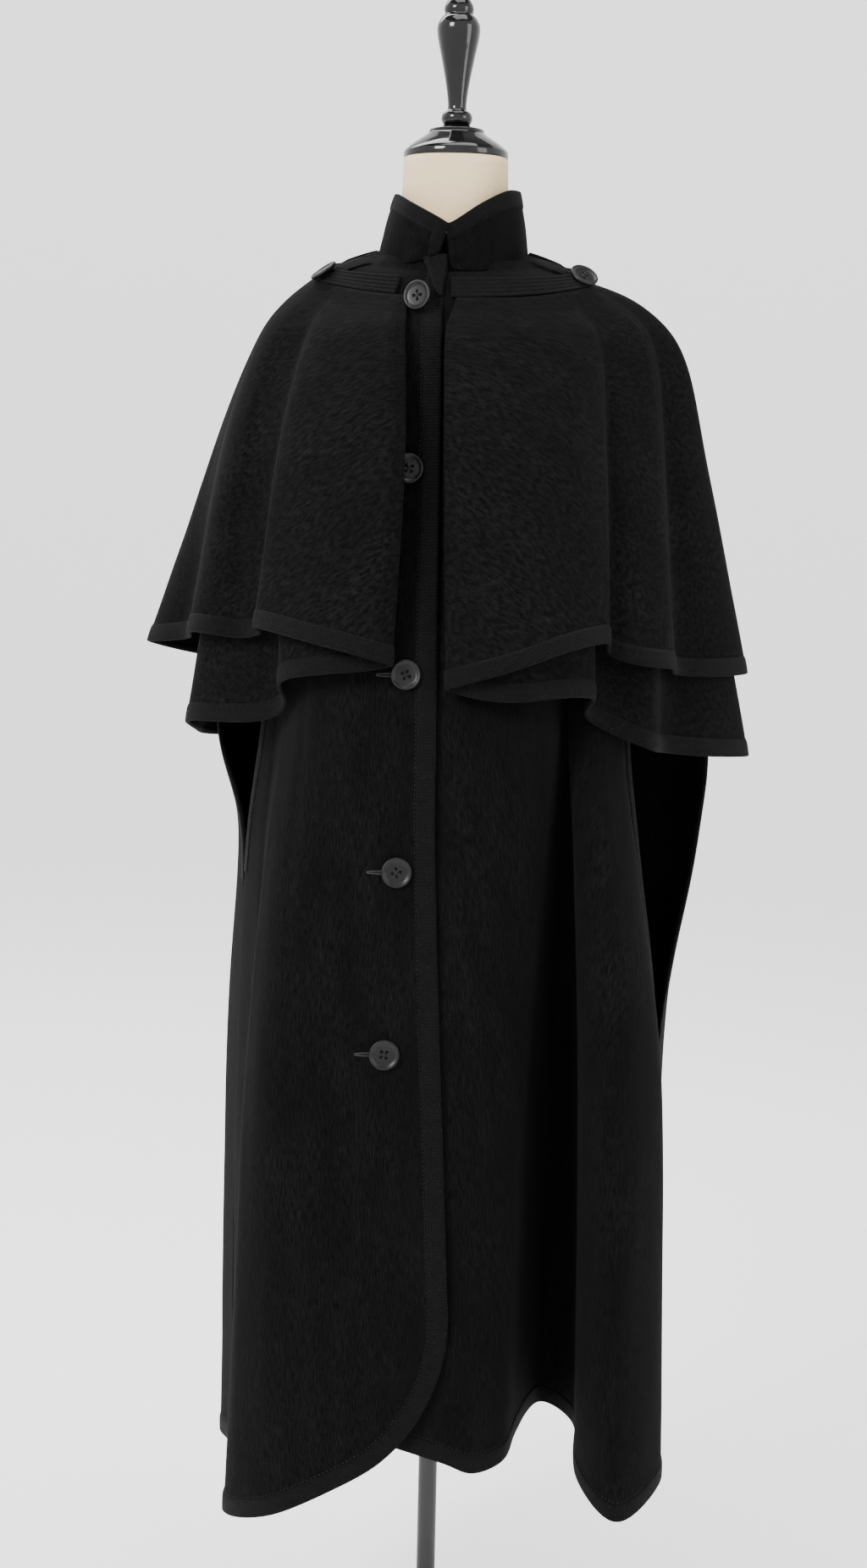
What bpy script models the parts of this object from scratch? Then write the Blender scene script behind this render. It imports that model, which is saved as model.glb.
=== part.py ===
"""Black wool cape coat standing on its limbless dress form.

Every cloth piece is cut from a surface drawn by ribs. A rib is one line down the cloth, at the
top of a fold or in the bottom of a valley, and each row of a table is one rib. Table values are in
millimetres, with +Z up, the front of the coat towards -Y and the floor at z = 0.
"""
import math

import bmesh
import bpy
import numpy as np
from mathutils import Vector
from mathutils.bvhtree import BVHTree

MM = 0.001
SEAM = 0.3            # gap between touching pieces
PANEL_SEAM = 2.0      # each panel's outer face stops this far from a seam, so the inner faces clear
CAPE_WALL = 2.2       # felted cape cloth
COAT_WALL = 2.4       # brushed coat cloth
BRAID_WALL = 1.2      # herringbone braid lying on the cloth's edges
BRAID_WIDTH = 17.0    # braid on the coat and the cape hems
BAND_WALL = 2.8       # ribbed neckband
CAPE_GAP = 8.0        # from the outside of the upper tier to the outside of the lower one
TIER_GAP = 4.6        # least distance from the outside of the upper tier to the lower one's
LAYER_GAP = 5.8       # least distance from the outside of the lower tier to the coat's
LAP_GAP = 7.0         # from the outside of the right front to the left front under it
BRAID_LIFT = 0.8      # from a panel to the braid that lies on it
FORM_GAP = 3.5        # least distance from the form to the outside of the coat
BUTTON_RADIUS = 14.3
BUTTON_THICK = 4.4

# ---------------------------------------------------------------- dress form and stand
POLE_RADIUS = 9.6
BASE_RADIUS = 165.0
BASE_THICK = 14.0
FORM_BOTTOM = 790.0

# height, half width, half depth, middle of the depth
FORM_SECTIONS = (
    (790, 128, 80, 6), (797, 136, 86, 6), (850, 146, 92, 6), (920, 142, 90, 4),
    (1010, 116, 80, 2), (1040, 112, 78, 0), (1100, 120, 86, -4), (1170, 136, 96, -6),
    (1230, 144, 96, -3), (1300, 152, 86, 4), (1340, 156, 74, 6), (1364, 155, 60, 6),
    (1386.4, 146.4, 52, 5), (1401.4, 126.4, 48, 4), (1415.4, 99.4, 48, 2), (1428.4, 74.4, 49, 0),
    (1442, 58, 51, 0), (1462, 53, 52, 0), (1500, 52, 52, 0), (1537, 51, 51, 0))

# height, radius of the turned cap, from its rim upwards
CAP_PROFILE = (
    (1537.4, 50.0), (1538.6, 51.2), (1543.0, 51.2), (1545.5, 50.0), (1549.0, 46.5), (1553.5, 40.5),
    (1558.0, 33.5), (1561.5, 28.5), (1563.5, 27.4), (1565.5, 26.4), (1566.6, 22.0), (1568.6, 16.0),
    (1570.0, 13.4))

# height, radius of the turned finial
FINIAL_PROFILE = (
    (1570.4, 11.0), (1571.6, 13.6), (1576.6, 15.3), (1581.6, 13.6), (1584.0, 10.0), (1588.0, 9.1),
    (1598.0, 9.9), (1615.0, 12.6), (1635.0, 16.6), (1650.0, 19.8), (1660.0, 21.1), (1666.0, 20.4),
    (1671.5, 17.4), (1675.0, 13.9), (1677.0, 14.0), (1680.5, 14.5), (1685.0, 13.2), (1689.5, 10.0),
    (1692.6, 5.4))

# ---------------------------------------------------------------- cape
CHEST = 1360.0        # height of the first pair of columns below the yoke
MID = 1245.0          # height of the second pair

# Upper tier, from the left front edge round the back to the right one. Angle round the neckband
# (0 front, 90 the -X shoulder, 180 back), lift over the shoulder, x and y at the chest, x and y at
# mid height, x, y and height at the hem, then x, y and height of the lower tier's hem.
CAPE_RIBS = (
    # angle lift  chest       mid         upper hem          lower hem
    (20, 0, -46, -122, -43, -164, -50, -190, 1055, -51, -180, 1053),    # front edge
    (23, 0, -60, -129, -57, -175, -76, -205, 1063, -75, -191, 1049),
    (36, 0, -98, -118, -106, -165, -123, -192, 1074, -114, -181, 1045),
    (50, 0, -136, -91, -163, -126, -185, -140, 1086, -161, -146, 1035),  # edge of the front fold
    (56, 2, -139, -72, -162, -103, -176, -118, 1078, -151, -122, 1013),    # hidden return
    (62, 4, -160, -58, -186, -82, -199, -97, 1072, -166, -105, 996),      # valley
    (68, 5, -175, -48, -206, -74, -228, -91, 1076, -205, -84, 990),
    (75, 6, -187, -30, -222, -48, -252, -64, 1076, -256, -48, 989),      # edge of the second fold
    (83, 8, -191, -10, -226, -12, -253, -18, 1067, -251, 4, 976),
    (92, 9, -195, 14, -239, 18, -287, 8, 1062, -250, 52, 968),
    (101, 8, -193, 34, -238, 52, -304, 46, 1060, -248, 98, 962),        # silhouette fold
    (112, 6, -178, 58, -214, 88, -262, 98, 1046, -222, 134, 958),
    (124, 4, -154, 78, -188, 122, -214, 150, 1036, -180, 166, 950),
    (136, 2, -126, 90, -146, 132, -158, 150, 1030, -140, 150, 950),
    (148, 0, -96, 99, -108, 152, -122, 188, 1022, -112, 186, 940),
    (160, 0, -62, 104, -66, 154, -74, 182, 1022, -70, 176, 942),
    (172, 0, -26, 107, -28, 168, -30, 206, 1016, -30, 206, 936),
    (184, 0, 14, 107, 16, 158, 18, 184, 1020, 18, 178, 942),
    (196, 0, 50, 105, 56, 166, 62, 202, 1018, 62, 200, 938),
    (208, 0, 86, 100, 98, 150, 106, 176, 1024, 102, 170, 944),
    (221, 2, 120, 92, 142, 146, 156, 180, 1026, 150, 180, 942),
    (234, 5, 154, 80, 182, 122, 202, 138, 1032, 190, 134, 950),
    (246, 9, 184, 64, 218, 96, 250, 118, 1036, 248, 122, 950),
    (257, 12, 212, 44, 244, 66, 280, 74, 1040, 282, 78, 955),
    (268, 14, 231, 18, 262, 26, 310, 30, 1041, 315, 30, 957),            # silhouette fold
    (277, 13, 217, 0, 240, -6, 268, -22, 1040, 262, -26, 961),
    (285, 10, 197, -14, 211, -22, 224, -50, 1043, 214, -54, 967),
    (292, 7, 190, -32, 207, -51, 223, -90, 1051, 204, -98, 972),         # edge of the second fold
    (300, 4, 164, -50, 176, -78, 190, -124, 1055, 167, -104, 986),
    (307, 2, 144, -64, 149, -92, 153, -121, 1064, 132, -122, 1006),        # hidden return
    (313, 0, 137, -82, 147, -111, 156, -141, 1078, 145, -143, 1025),     # edge of the front fold
    (324, 0, 100, -107, 109, -152, 116, -186, 1072, 105, -177, 1027),
    (338, 0, 58, -126, 61, -175, 65, -209, 1054, 64, -196, 1023),
    (352, 0, 14, -130, 16, -173, 22, -203, 1041, 26, -190, 1026),
    (358, 0, -6, -122, -4, -164, 1, -190, 1034, 2, -180, 1032))          # front edge

# ---------------------------------------------------------------- coat body
BODY_HEIGHTS = (1345.0, 1010.0, 870.0, 650.0)
SHOULDER_TIPS = {"left": (-164, 2, 1379), "right": (170, 2, 1380)}
YOKE_DROP = (26, 8)         # how far the cloth runs nearly level from the shoulder seam, and drops

# Ribs from the right front edge round the back to the left front edge. The top of a rib lies on the
# neckline at an angle, or at a fraction along the shoulder seam (-X negative, +X positive). Then x
# and y at the four heights above, and the hem point.
RIGHT_FRONT_RIBS = (
    # neck seam  chest       waist       hip         knee        hem
    (5, 0, -11, -108, -9, -174, -7, -186, 3, -203, 20, -207, 330),       # front edge
    (16, 0, -34, -110, -36, -176, -36, -188, -33, -206, -22, -211, 312),
    (36, 0, -74, -106, -83, -172, -84, -188, -92, -209, -88, -218, 277),
    (60, 0, -116, -84, -126, -142, -138, -168, -154, -198, -152, -206, 244),
    (90, 0.02, -140, -58, -150, -98, -165, -130, -182, -152, -199, -150, 225),   # front fold
    (0, 0.5, -152, -34, -160, -66, -172, -82, -178, -86, -184, -84, 240),        # valley
    (0, 1.0, -164, -8, -178, -32, -194, -26, -202, -12, -203, -6, 238))          # side seam
BACK_RIBS = (
    (0, 1.0, -174, 14, -229, 42, -198, -20, -202, -12, -203, -6, 238),
    (0, 0.5, -166, 36, -214, 84, -206, 62, -216, 66, -220, 70, 228),
    (90, 0.02, -146, 60, -166, 106, -170, 100, -174, 98, -176, 100, 242),
    (112, 0, -110, 78, -124, 150, -130, 164, -140, 180, -147, 190, 226),
    (146, 0, -60, 88, -68, 134, -76, 130, -80, 132, -84, 134, 242),
    (180, 0, 0, 92, -10, 164, -10, 176, -10, 192, -10, 207, 224),
    (214, 0, 60, 89, 65, 136, 66, 132, 70, 134, 72, 137, 242),
    (248, 0, 110, 80, 124, 156, 130, 168, 140, 184, 147, 196, 226),
    (270, -0.02, 150, 62, 174, 110, 182, 102, 188, 100, 192, 100, 242),
    (0, -0.5, 178, 38, 240, 94, 240, 88, 234, 72, 238, 76, 230),
    (0, -1.0, 190, 14, 264, 44, 262, 42, 223, -18, 232, -10, 252))
LEFT_FRONT_RIBS = (
    (0, -1.0, 178, -8, 182, -30, 196, -28, 223, -18, 232, -10, 252),             # side seam
    (0, -0.5, 168, -32, 172, -68, 182, -72, 206, -76, 222, -70, 262),            # valley
    (270, -0.02, 150, -52, 170, -82, 188, -120, 217, -136, 228, -134, 258),     # wide fold
    (288, 0, 130, -70, 144, -104, 155, -160, 171, -190, 181, -190, 237),
    (299, 0, 116, -80, 120, -100, 127, -134, 137, -146, 144, -136, 262),         # its inner edge
    (306, 0, 110, -82, 120, -90, 130, -90, 140, -68, 147, -56, 284),
    (312, 0, 102, -86, 113, -94, 115, -76, 112, -48, 112, -22, 296),             # deep valley
    (319, 0, 92, -90, 104, -120, 102, -120, 91, -118, 85, -116, 298),
    (328, 0, 74, -98, 90, -144, 86, -157, 77, -166, 72, -178, 293),
    (341, 0, 40, -104, 50, -163, 44, -178, 44, -190, 42, -204, 289),             # middle fold
    (356, 0, 4, -105, 6, -168, 6, -181, 12, -196, 14, -203, 298),
    (368, 0, -36, -104, -40, -168, -40, -181, -36, -197, -34, -201, 312))        # hidden edge

CORNER_ALONG_HEM = 89.0     # the rounded lower corner of the right front
CORNER_UP_EDGE = 108.0
# Braid of the arm openings: its panel, whether it lies on the panel's last side, the panel's rows
# down to the foot of the opening, and its lift.
ARM_BRAIDS = {"left_front": ("right_front", True, 5, 0.9), "left_back": ("back", False, 5, 1.5),
              "right_back": ("back", True, 6, 0.9), "right_front": ("left_front", False, 6, 0.9)}
TAB_ROWS = ((0, 24), (14, 19), (28, 13), (40, 7), (46, 3))    # way down the front edge, width there
LAP_TUCK = 6.0              # how much further in the left front's neckline lies under the right one

# ---------------------------------------------------------------- collar
# From the -X front end round the back to the +X one: angle round the neckline, lift of the lower
# edge above it, how far that edge stands out, then the top point.
COLLAR_RIBS = (
    # angle lift  out   top
    (11, 19, 2, -7, -79, 1467),       # left end, curled up
    (20, 12, 3, -17, -77, 1473),
    (33, 5, 3, -31, -70, 1481),
    (54, 1, 0, -47, -54, 1491),
    (72, 0, 0, -56, -28, 1499),
    (98, 0, 0, -58, 12, 1503),
    (134, 0, 0, -44, 48, 1506),
    (180, 0, 0, 0, 62, 1508),
    (226, 0, 0, 46, 48, 1507),
    (262, 0, 0, 61, 12, 1506),
    (290, 0, 0, 62, -26, 1504),
    (308, 0, 0, 50, -53, 1501),
    (337, 0, 0, 25, -70, 1487),
    (356, 2, 0, 0, -75, 1470),
    (363, 6, 0, -8, -76, 1467))       # right end
COLLAR_BRAID = 15.0

# ---------------------------------------------------------------- buttons
# Front buttons: x and height of each on the right front, from the second one down.
FRONT_BUTTONS = ((-38.5, 1235), (-37, 1044), (-42, 861), (-50, 692))
TOP_BUTTON = (-28, 1397)
BUTTON_LIFT = 0.5
TOP_BUTTON_LIFT = 8.8       # over the braid and the tab
BUTTON_PROFILE = (
    (0, 10.5), (1.2, 13.2), (2.8, BUTTON_RADIUS), (4.0, 13.6), (BUTTON_THICK, 12.4), (3.9, 10.9),
    (3.0, 9.8))
# Shoulder buttons: angle round the neckband, the way each one faces and its lift.
SHOULDER_BUTTONS = {"left": (72, (-0.55, -0.22, 0.80), 2.4), "right": (286, (0.34, -0.60, 0.72), 3.3)}


# ================================================================ surfaces from ribs
def weights(count, at):
    """Catmull-Rom weights of `count` control points at the parameters `at`, ends mirrored."""
    at = np.atleast_1d(np.asarray(at, float)).clip(0, count - 1)
    base = np.minimum(at.astype(int), count - 2)
    t = at - base
    basis = (-0.5 * t + t ** 2 - 0.5 * t ** 3, 1 - 2.5 * t ** 2 + 1.5 * t ** 3,
             0.5 * t + 2 * t ** 2 - 1.5 * t ** 3, -0.5 * t ** 2 + 0.5 * t ** 3)
    table = np.zeros((len(at), count))
    rows = np.arange(len(at))
    for step, weight in zip((-1, 0, 1, 2), basis):
        index = base + step
        low, high = index < 0, index >= count
        inside = ~(low | high)
        np.add.at(table, (rows[inside], index[inside]), weight[inside])
        for outside, edge, inner in ((low, 0, 1), (high, count - 1, count - 2)):
            np.add.at(table, (rows[outside], np.full(outside.sum(), edge)), 2 * weight[outside])
            np.add.at(table, (rows[outside], np.full(outside.sum(), inner)), -weight[outside])
    return table


def even_ribs(ribs, steps=41):
    """Resample each rib at equal lengths along itself."""
    fine = weights(ribs.shape[1], np.linspace(0, ribs.shape[1] - 1, 240)) @ ribs
    out = []
    for rib in fine:
        run = np.concatenate(([0], np.cumsum(np.linalg.norm(np.diff(rib, axis=0), axis=1))))
        want = np.linspace(0, run[-1], steps)
        out.append(np.stack([np.interp(want, run, rib[:, k]) for k in range(3)], axis=1))
    return np.array(out)


class Cloth:
    """A surface through evenly sampled ribs: p counts ribs, q runs 0 to 1 from top to hem."""

    def __init__(self, ribs):
        self.ribs = even_ribs(np.asarray(ribs, float))
        self.lengths = np.linalg.norm(np.diff(self.ribs, axis=1), axis=2).sum(axis=1)

    def at(self, p, q):
        p, q = np.broadcast_arrays(np.asarray(p, float), np.asarray(q, float))
        across = weights(len(self.ribs), p.ravel())
        down = weights(self.ribs.shape[1], q.ravel() * (self.ribs.shape[1] - 1))
        points = np.einsum("ni,nj,ijk->nk", across, down, self.ribs)
        return points.reshape(p.shape + (3,))

    def length(self, p):
        """Length of the cloth from top to hem at rib parameter p."""
        return weights(len(self.lengths), np.ravel(p)) @ self.lengths

    def reach(self, q, distance, backwards=False):
        """Rib parameter found by going `distance` along row q from the first or last rib."""
        trial = np.linspace(0, 2.5, 120)
        start = (len(self.ribs) - 1 - trial) if backwards else trial
        out = []
        for value in np.atleast_1d(q):
            row = self.at(start, value)
            run = np.concatenate(([0], np.cumsum(np.linalg.norm(np.diff(row, axis=0), axis=1))))
            out.append(np.interp(distance, run, start))
        return np.array(out)


def unit(vectors):
    return vectors / np.maximum(np.linalg.norm(vectors, axis=-1, keepdims=True), 1e-9)


def normals_of(grid):
    """Unit normals of a grid of points, outwards for p clockwise seen from above and q down."""
    across = np.gradient(grid, axis=0)
    down = np.gradient(grid, axis=1)
    return unit(np.cross(across, down))


def moved_out(grid, distance):
    """The points of a grid moved out along its normals."""
    return grid + normals_of(grid) * distance


def tree_of(grid):
    """A search tree over the quads of a grid."""
    columns, rows = grid.shape[:2]
    index = np.arange(columns * rows).reshape(columns, rows)
    quads = np.stack([index[:-1, :-1], index[1:, :-1], index[1:, 1:], index[:-1, 1:]], axis=-1).reshape(-1, 4)
    return BVHTree.FromPolygons(grid.reshape(-1, 3).tolist(), quads.tolist())


def kept_inside(grid, outer_grids, gap, rounds=4):
    """Tuck the points of one layer in behind the outer layers, at least `gap` behind each."""
    points = grid.reshape(-1, 3).copy()
    trees = [tree_of(outer) for outer in outer_grids]
    for _ in range(rounds):
        for tree in trees:
            for k, point in enumerate(points):
                near, normal, _, distance = tree.find_nearest(point, 40.0)
                if near is None:
                    continue
                offset = np.array(point) - np.array(near)
                depth = float(offset @ np.array(normal))
                facing = distance < 1e-6 or abs(depth) > 0.6 * distance
                if facing and depth > -gap:
                    points[k] -= np.array(normal) * (gap + depth)
    return points.reshape(grid.shape)


def kept_outside(grid, tree, gap):
    """Push the points of the coat out of the dress form, at least `gap` from it."""
    points = grid.reshape(-1, 3).copy()
    for k, point in enumerate(points):
        near, normal, _, distance = tree.find_nearest(point, 40.0)
        if near is None:
            continue
        depth = float((np.array(point) - np.array(near)) @ np.array(normal))
        if depth < gap:
            points[k] += np.array(normal) * (gap - depth)
    return points.reshape(grid.shape)


# ================================================================ Blender helpers
def material(name, colour, roughness, metallic=0.0):
    made = bpy.data.materials.new(name)
    made.use_nodes = True
    shader = made.node_tree.nodes["Principled BSDF"]
    shader.inputs["Base Color"].default_value = (*colour, 1.0)
    shader.inputs["Roughness"].default_value = roughness
    shader.inputs["Metallic"].default_value = metallic
    return made


def add_object(name, mesh_maker, finish):
    mesh = bpy.data.meshes.new(name)
    with_mesh = bmesh.new()
    mesh_maker(with_mesh)
    with_mesh.to_mesh(mesh)
    with_mesh.free()
    made = bpy.data.objects.new(name, mesh)
    made.data.materials.append(finish)
    bpy.context.scene.collection.objects.link(made)
    return made


def sheet(name, grid, wall, finish):
    """A cloth piece: a grid laid on the points, thickened inwards to its wall."""
    columns, rows = grid.shape[:2]

    def lay(bm):
        bmesh.ops.create_grid(bm, x_segments=columns - 1, y_segments=rows - 1, size=1.0)
        for vertex in bm.verts:
            i = round((vertex.co.x + 1) / 2 * (columns - 1))
            j = round((vertex.co.y + 1) / 2 * (rows - 1))
            vertex.co = grid[i, j] * MM

    made = add_object(name, lay, finish)
    thicken = made.modifiers.new("wall", "SOLIDIFY")
    thicken.thickness = wall * MM
    thicken.offset = -1.0
    thicken.use_even_offset = False
    thicken.use_quality_normals = True
    return made


def turned(name, profile, finish, segments=24, centre=(0, 0)):
    """A solid of revolution about the vertical through `centre`, from (height, radius) rows."""
    def spin(bm):
        loops = []
        for height, radius in profile:
            ring = bmesh.ops.create_circle(bm, cap_ends=False, radius=radius * MM, segments=segments)
            bmesh.ops.translate(bm, verts=ring["verts"], vec=(centre[0] * MM, centre[1] * MM, height * MM))
            loops.append(ring["verts"])
        close_rings(bm, loops)

    made = add_object(name, spin, finish)
    made.data.shade_smooth()
    return made


def close_rings(bm, loops):
    """Join rings of equal count into one closed body, capped at both ends."""
    count = len(loops[0])
    for lower, upper in zip(loops, loops[1:]):
        for k in range(count):
            nxt = (k + 1) % count
            bm.faces.new((lower[k], lower[nxt], upper[nxt], upper[k]))
    bm.faces.new(tuple(reversed(loops[0])))
    bm.faces.new(tuple(loops[-1]))
    bmesh.ops.recalc_face_normals(bm, faces=bm.faces)


# ================================================================ form and stand
def form_ring(half_width, half_depth, middle, segments=32):
    """One section of the form, a little squarer than an ellipse."""
    angles = np.arange(segments) / segments * 2 * math.pi
    power = 0.86
    x = half_width * np.sign(np.sin(angles)) * np.abs(np.sin(angles)) ** power
    y = middle - half_depth * np.sign(np.cos(angles)) * np.abs(np.cos(angles)) ** power
    return np.stack([x, y], axis=1)


def build_form(linen, lacquer, iron):
    def torso(bm):
        loops = []
        for height, half_width, half_depth, middle in FORM_SECTIONS:
            ring = form_ring(half_width, half_depth, middle)
            loops.append([bm.verts.new((x * MM, y * MM, height * MM)) for x, y in ring])
        close_rings(bm, loops)

    add_object("dress_form", torso, linen).data.shade_smooth()
    turned("neck_cap", CAP_PROFILE, lacquer)
    turned("finial", FINIAL_PROFILE, lacquer, segments=20)
    turned("stand_pole", ((BASE_THICK + SEAM, POLE_RADIUS), (FORM_BOTTOM - SEAM, POLE_RADIUS)), iron, segments=28)
    rim = 3.0
    turned("stand_base", ((0, BASE_RADIUS - rim), (rim, BASE_RADIUS), (BASE_THICK - rim, BASE_RADIUS),
                          (BASE_THICK, BASE_RADIUS - rim)), iron, segments=48)


# ================================================================ cape and neckband
def band_ring(angle, edge):
    """A point of the neckband's edge: 0 is its upper edge, 1 the lower, where the cape hangs."""
    turn = np.radians(angle)
    side = np.sin(turn) ** 2
    half_width = 123 + 14 * edge
    half_depth = 77 + 11 * edge
    rise = (1 - edge) * (20 - 8 * side)
    height = 1398 + 30 * np.sin(turn / 2) ** 2 + 8 * side + rise
    return np.stack([-half_width * np.sin(turn), -half_depth * np.cos(turn), height], axis=-1)


def upper_surface():
    ribs = []
    for angle, lift, x1, y1, x2, y2, x3, y3, z3, *_ in CAPE_RIBS:
        ring = band_ring(angle, 1.0)
        yoke = (ring + (x1, y1, CHEST)) / 2 + (0, 0, lift)
        ribs.append((ring, yoke, (x1, y1, CHEST), (x2, y2, MID), (x3, y3, z3)))
    return Cloth(ribs)


def cape_grids(columns, rows):
    """The outside of both tiers. The lower one is the upper one moved in, with its own hem."""
    cloth = upper_surface()
    p = np.linspace(0, len(CAPE_RIBS) - 1, columns)[:, None]
    q = SEAM / cloth.length(p)[:, None] * (1 - np.linspace(0, 1, rows)) + np.linspace(0, 1, rows)
    upper = cloth.at(p, q)
    hem = weights(len(CAPE_RIBS), p.ravel()) @ np.array([row[9:12] for row in CAPE_RIBS], float)
    inward = -normals_of(upper)
    inward[0], inward[-1] = inward[1], inward[-2]
    for _ in range(2):
        inward[1:-1] = unit(inward[:-2] + 2 * inward[1:-1] + inward[2:])
    run = np.linspace(0, 1, rows)[None, :, None]
    depth = CAPE_GAP * (0.55 + 0.45 * np.minimum(run / 0.4, 1))
    lower = upper + inward * depth
    grow = np.clip((run - 0.35) / 0.65, 0, 1) ** 1.6
    lower = lower + grow * (hem[:, None, :] - lower[:, -1:, :])
    return upper, kept_inside(lower, [upper], TIER_GAP)


def along(points, distance):
    """The point found by going `distance` along a line of points."""
    run = np.concatenate(([0], np.cumsum(np.linalg.norm(np.diff(points, axis=0), axis=1))))
    return np.array([np.interp(distance, run, points[:, k]) for k in range(3)])


def hem_strip(grid, width):
    """A strip on the last `width` of each column of a grid."""
    return np.array([(along(column[::-1], width), column[-1]) for column in grid])


def side_strip(grid, last, widths):
    """A strip beside the first or last column of a grid, one width for each row from the top."""
    rows = range(len(widths))
    if last:
        return np.array([[along(grid[::-1, j], widths[j]) for j in rows], grid[-1, :len(widths)]])
    return np.array([grid[0, :len(widths)], [along(grid[:, j], widths[j]) for j in rows]])


def lay_braid(name, strip, finish, lift=BRAID_LIFT):
    """A length of braid lying on a panel, made from the panel's points moved out."""
    sheet(name, moved_out(strip, lift + BRAID_WALL), BRAID_WALL, finish)


def build_cape(felt, braid):
    upper, lower = cape_grids(2 * len(CAPE_RIBS) - 1, 7)
    for name, grid in (("upper_cape", upper), ("lower_cape", lower)):
        sheet(name, grid, CAPE_WALL, felt)
        lift = 3.1 if name == "upper_cape" else 1.1
        lay_braid(name + "_braid", hem_strip(grid, BRAID_WIDTH), braid, lift)
    return upper, lower


def build_neckband(braid):
    spans = {"neckband_left": (24.0, 83.0, 9), "neckband_back": (83.4, 274.6, 20),
             "neckband_right": (275.0, 361.0, 10)}
    bands = []
    for name, (start, end, steps) in spans.items():
        angles = np.linspace(start, end, steps)
        grid = np.stack([band_ring(angles, edge) for edge in (0.0, 0.5, 0.985)], axis=1)
        sheet(name, grid, BAND_WALL, braid)
        bands.append(grid)
    return bands


# ================================================================ coat body and collar
def neckline(angle, lift=0.0, out=0.0):
    """A point on the seam between the collar and the coat, 0 at the front, 90 towards -X."""
    turn = np.radians(angle)
    height = 1424 + 32 * np.sin(turn / 2) ** 2 + 5 * np.sin(turn) ** 2 + lift
    across = np.cos(turn)
    return np.array((-(73 + out) * np.sin(turn), -across * (62 + out + 5 * across), height))


def shoulder_point(run):
    """A point on a shoulder seam: negative runs are on the +X side, 1 is the shoulder tip."""
    side, angle = ("left", 90) if run > 0 else ("right", 270)
    run = abs(run)
    start = neckline(angle, -2.0, 1.0)
    return start + (np.array(SHOULDER_TIPS[side]) - start) * run + (0, 0, 12 * run * (1 - run))


def body_cloth(rows, before=None, after=None):
    """A panel's surface; `before` and `after` are the neighbour ribs that the seams run on into."""
    def rib(row):
        angle, seam = row[:2]
        if seam:
            towards = math.copysign(YOKE_DROP[0], row[3])
            points = [shoulder_point(seam), shoulder_point(seam) + (0, towards, -YOKE_DROP[1])]
        else:
            tuck = LAP_TUCK if angle > 335 else 0.0
            under_band = band_ring(angle, 1.0) * (0.93, 0.93, 1) + (0, tuck, -8.5)
            points = [neckline(angle, -2.0, 1.0 - tuck), under_band]
        for k, height in enumerate(BODY_HEIGHTS):
            points.append((row[2 + 2 * k], row[3 + 2 * k], height))
        points.append(row[10:13])
        return points
    return Cloth([rib(row) for row in (*(before or ()), *rows, *(after or ()))])


def row_places(rows):
    """Where a panel's rows lie, closer together over the shoulders."""
    return np.linspace(0, 1, rows) ** 1.35


def panel_grid(cloth, start, end, columns, rows):
    """A panel between two ribs, drawn back from the seams there by half a seam."""
    p = np.linspace(start, end, columns)[:, None] * np.ones((1, rows))
    q = np.ones((columns, 1)) * row_places(rows)[None, :]
    for edge, sign in ((0, 1), (-1, -1)):
        step = 0.05 * sign
        gap = np.linalg.norm(cloth.at(p[edge] + step, q[edge]) - cloth.at(p[edge], q[edge]), axis=1) / 0.05
        p[edge] += sign * PANEL_SEAM / np.maximum(gap, 5.0)
    top = 2 * PANEL_SEAM / cloth.length(p[:, 0])[:, None]
    return cloth.at(p, top + q * (1 - top))


def corner_height(across):
    """Height above the hem line at which a column stops in the rounded front corner."""
    turn = np.clip(1 - across / CORNER_ALONG_HEM, 0, 1)
    return CORNER_UP_EDGE * (1 - np.sqrt(1 - turn ** 2))


def right_front_grid(cloth, rows, arc_columns=6, other_columns=11):
    """The right front, whose first columns stop on the arc of its rounded lower corner."""
    turns = np.linspace(0, math.pi / 2, arc_columns)
    columns = []
    trial = np.linspace(0, 1, 24)
    for distance in CORNER_ALONG_HEM * (1 - np.cos(turns)):
        ribs = cloth.reach(trial, distance)
        length = cloth.length(ribs[-1:])[0]
        q = (2 * PANEL_SEAM + row_places(rows) * (length - 2 * PANEL_SEAM - corner_height(distance))) / length
        columns.append(cloth.at(np.interp(q, trial, ribs), q))
    after_arc = cloth.reach(row_places(rows), CORNER_ALONG_HEM)
    seam_rib = len(RIGHT_FRONT_RIBS) - 1
    for k in range(1, other_columns):
        p = after_arc + (seam_rib - after_arc) * k / other_columns
        columns.append(cloth.at(p, np.maximum(row_places(rows), 2 * PANEL_SEAM / cloth.length(p[:1])[0])))
    columns.append(panel_grid(cloth, 0, seam_rib, 2, rows)[-1])
    return np.array(columns)


def front_braid(grid, arc_columns=6):
    """Braid down the front edge, round the corner and along the hem, from the panel's own points."""
    front_rows = grid.shape[1]
    edge = np.concatenate((grid[0], grid[1:, -1]))
    strips = []
    columns = CORNER_ALONG_HEM * (1 - np.cos(np.linspace(math.pi / 2, 0, arc_columns)))
    for width in (BRAID_WIDTH, *(way for way in columns if 1 < way < BRAID_WIDTH - 1)):
        line = [along(grid[:, j], width) for j in range(front_rows)]
        line += [along(column[::-1], width) for column in grid[1:]]
        for k in range(front_rows - 2, front_rows + arc_columns - 1):
            way = unit(np.cross(edge[k + 1] - edge[k - 1], (0.0, -1.0, 0.0)))
            line[k] = edge[k] + way * width * np.sign(way @ (line[k] - edge[k]))
        strips.append(line)
    return np.stack([*strips, edge], axis=1)


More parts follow.
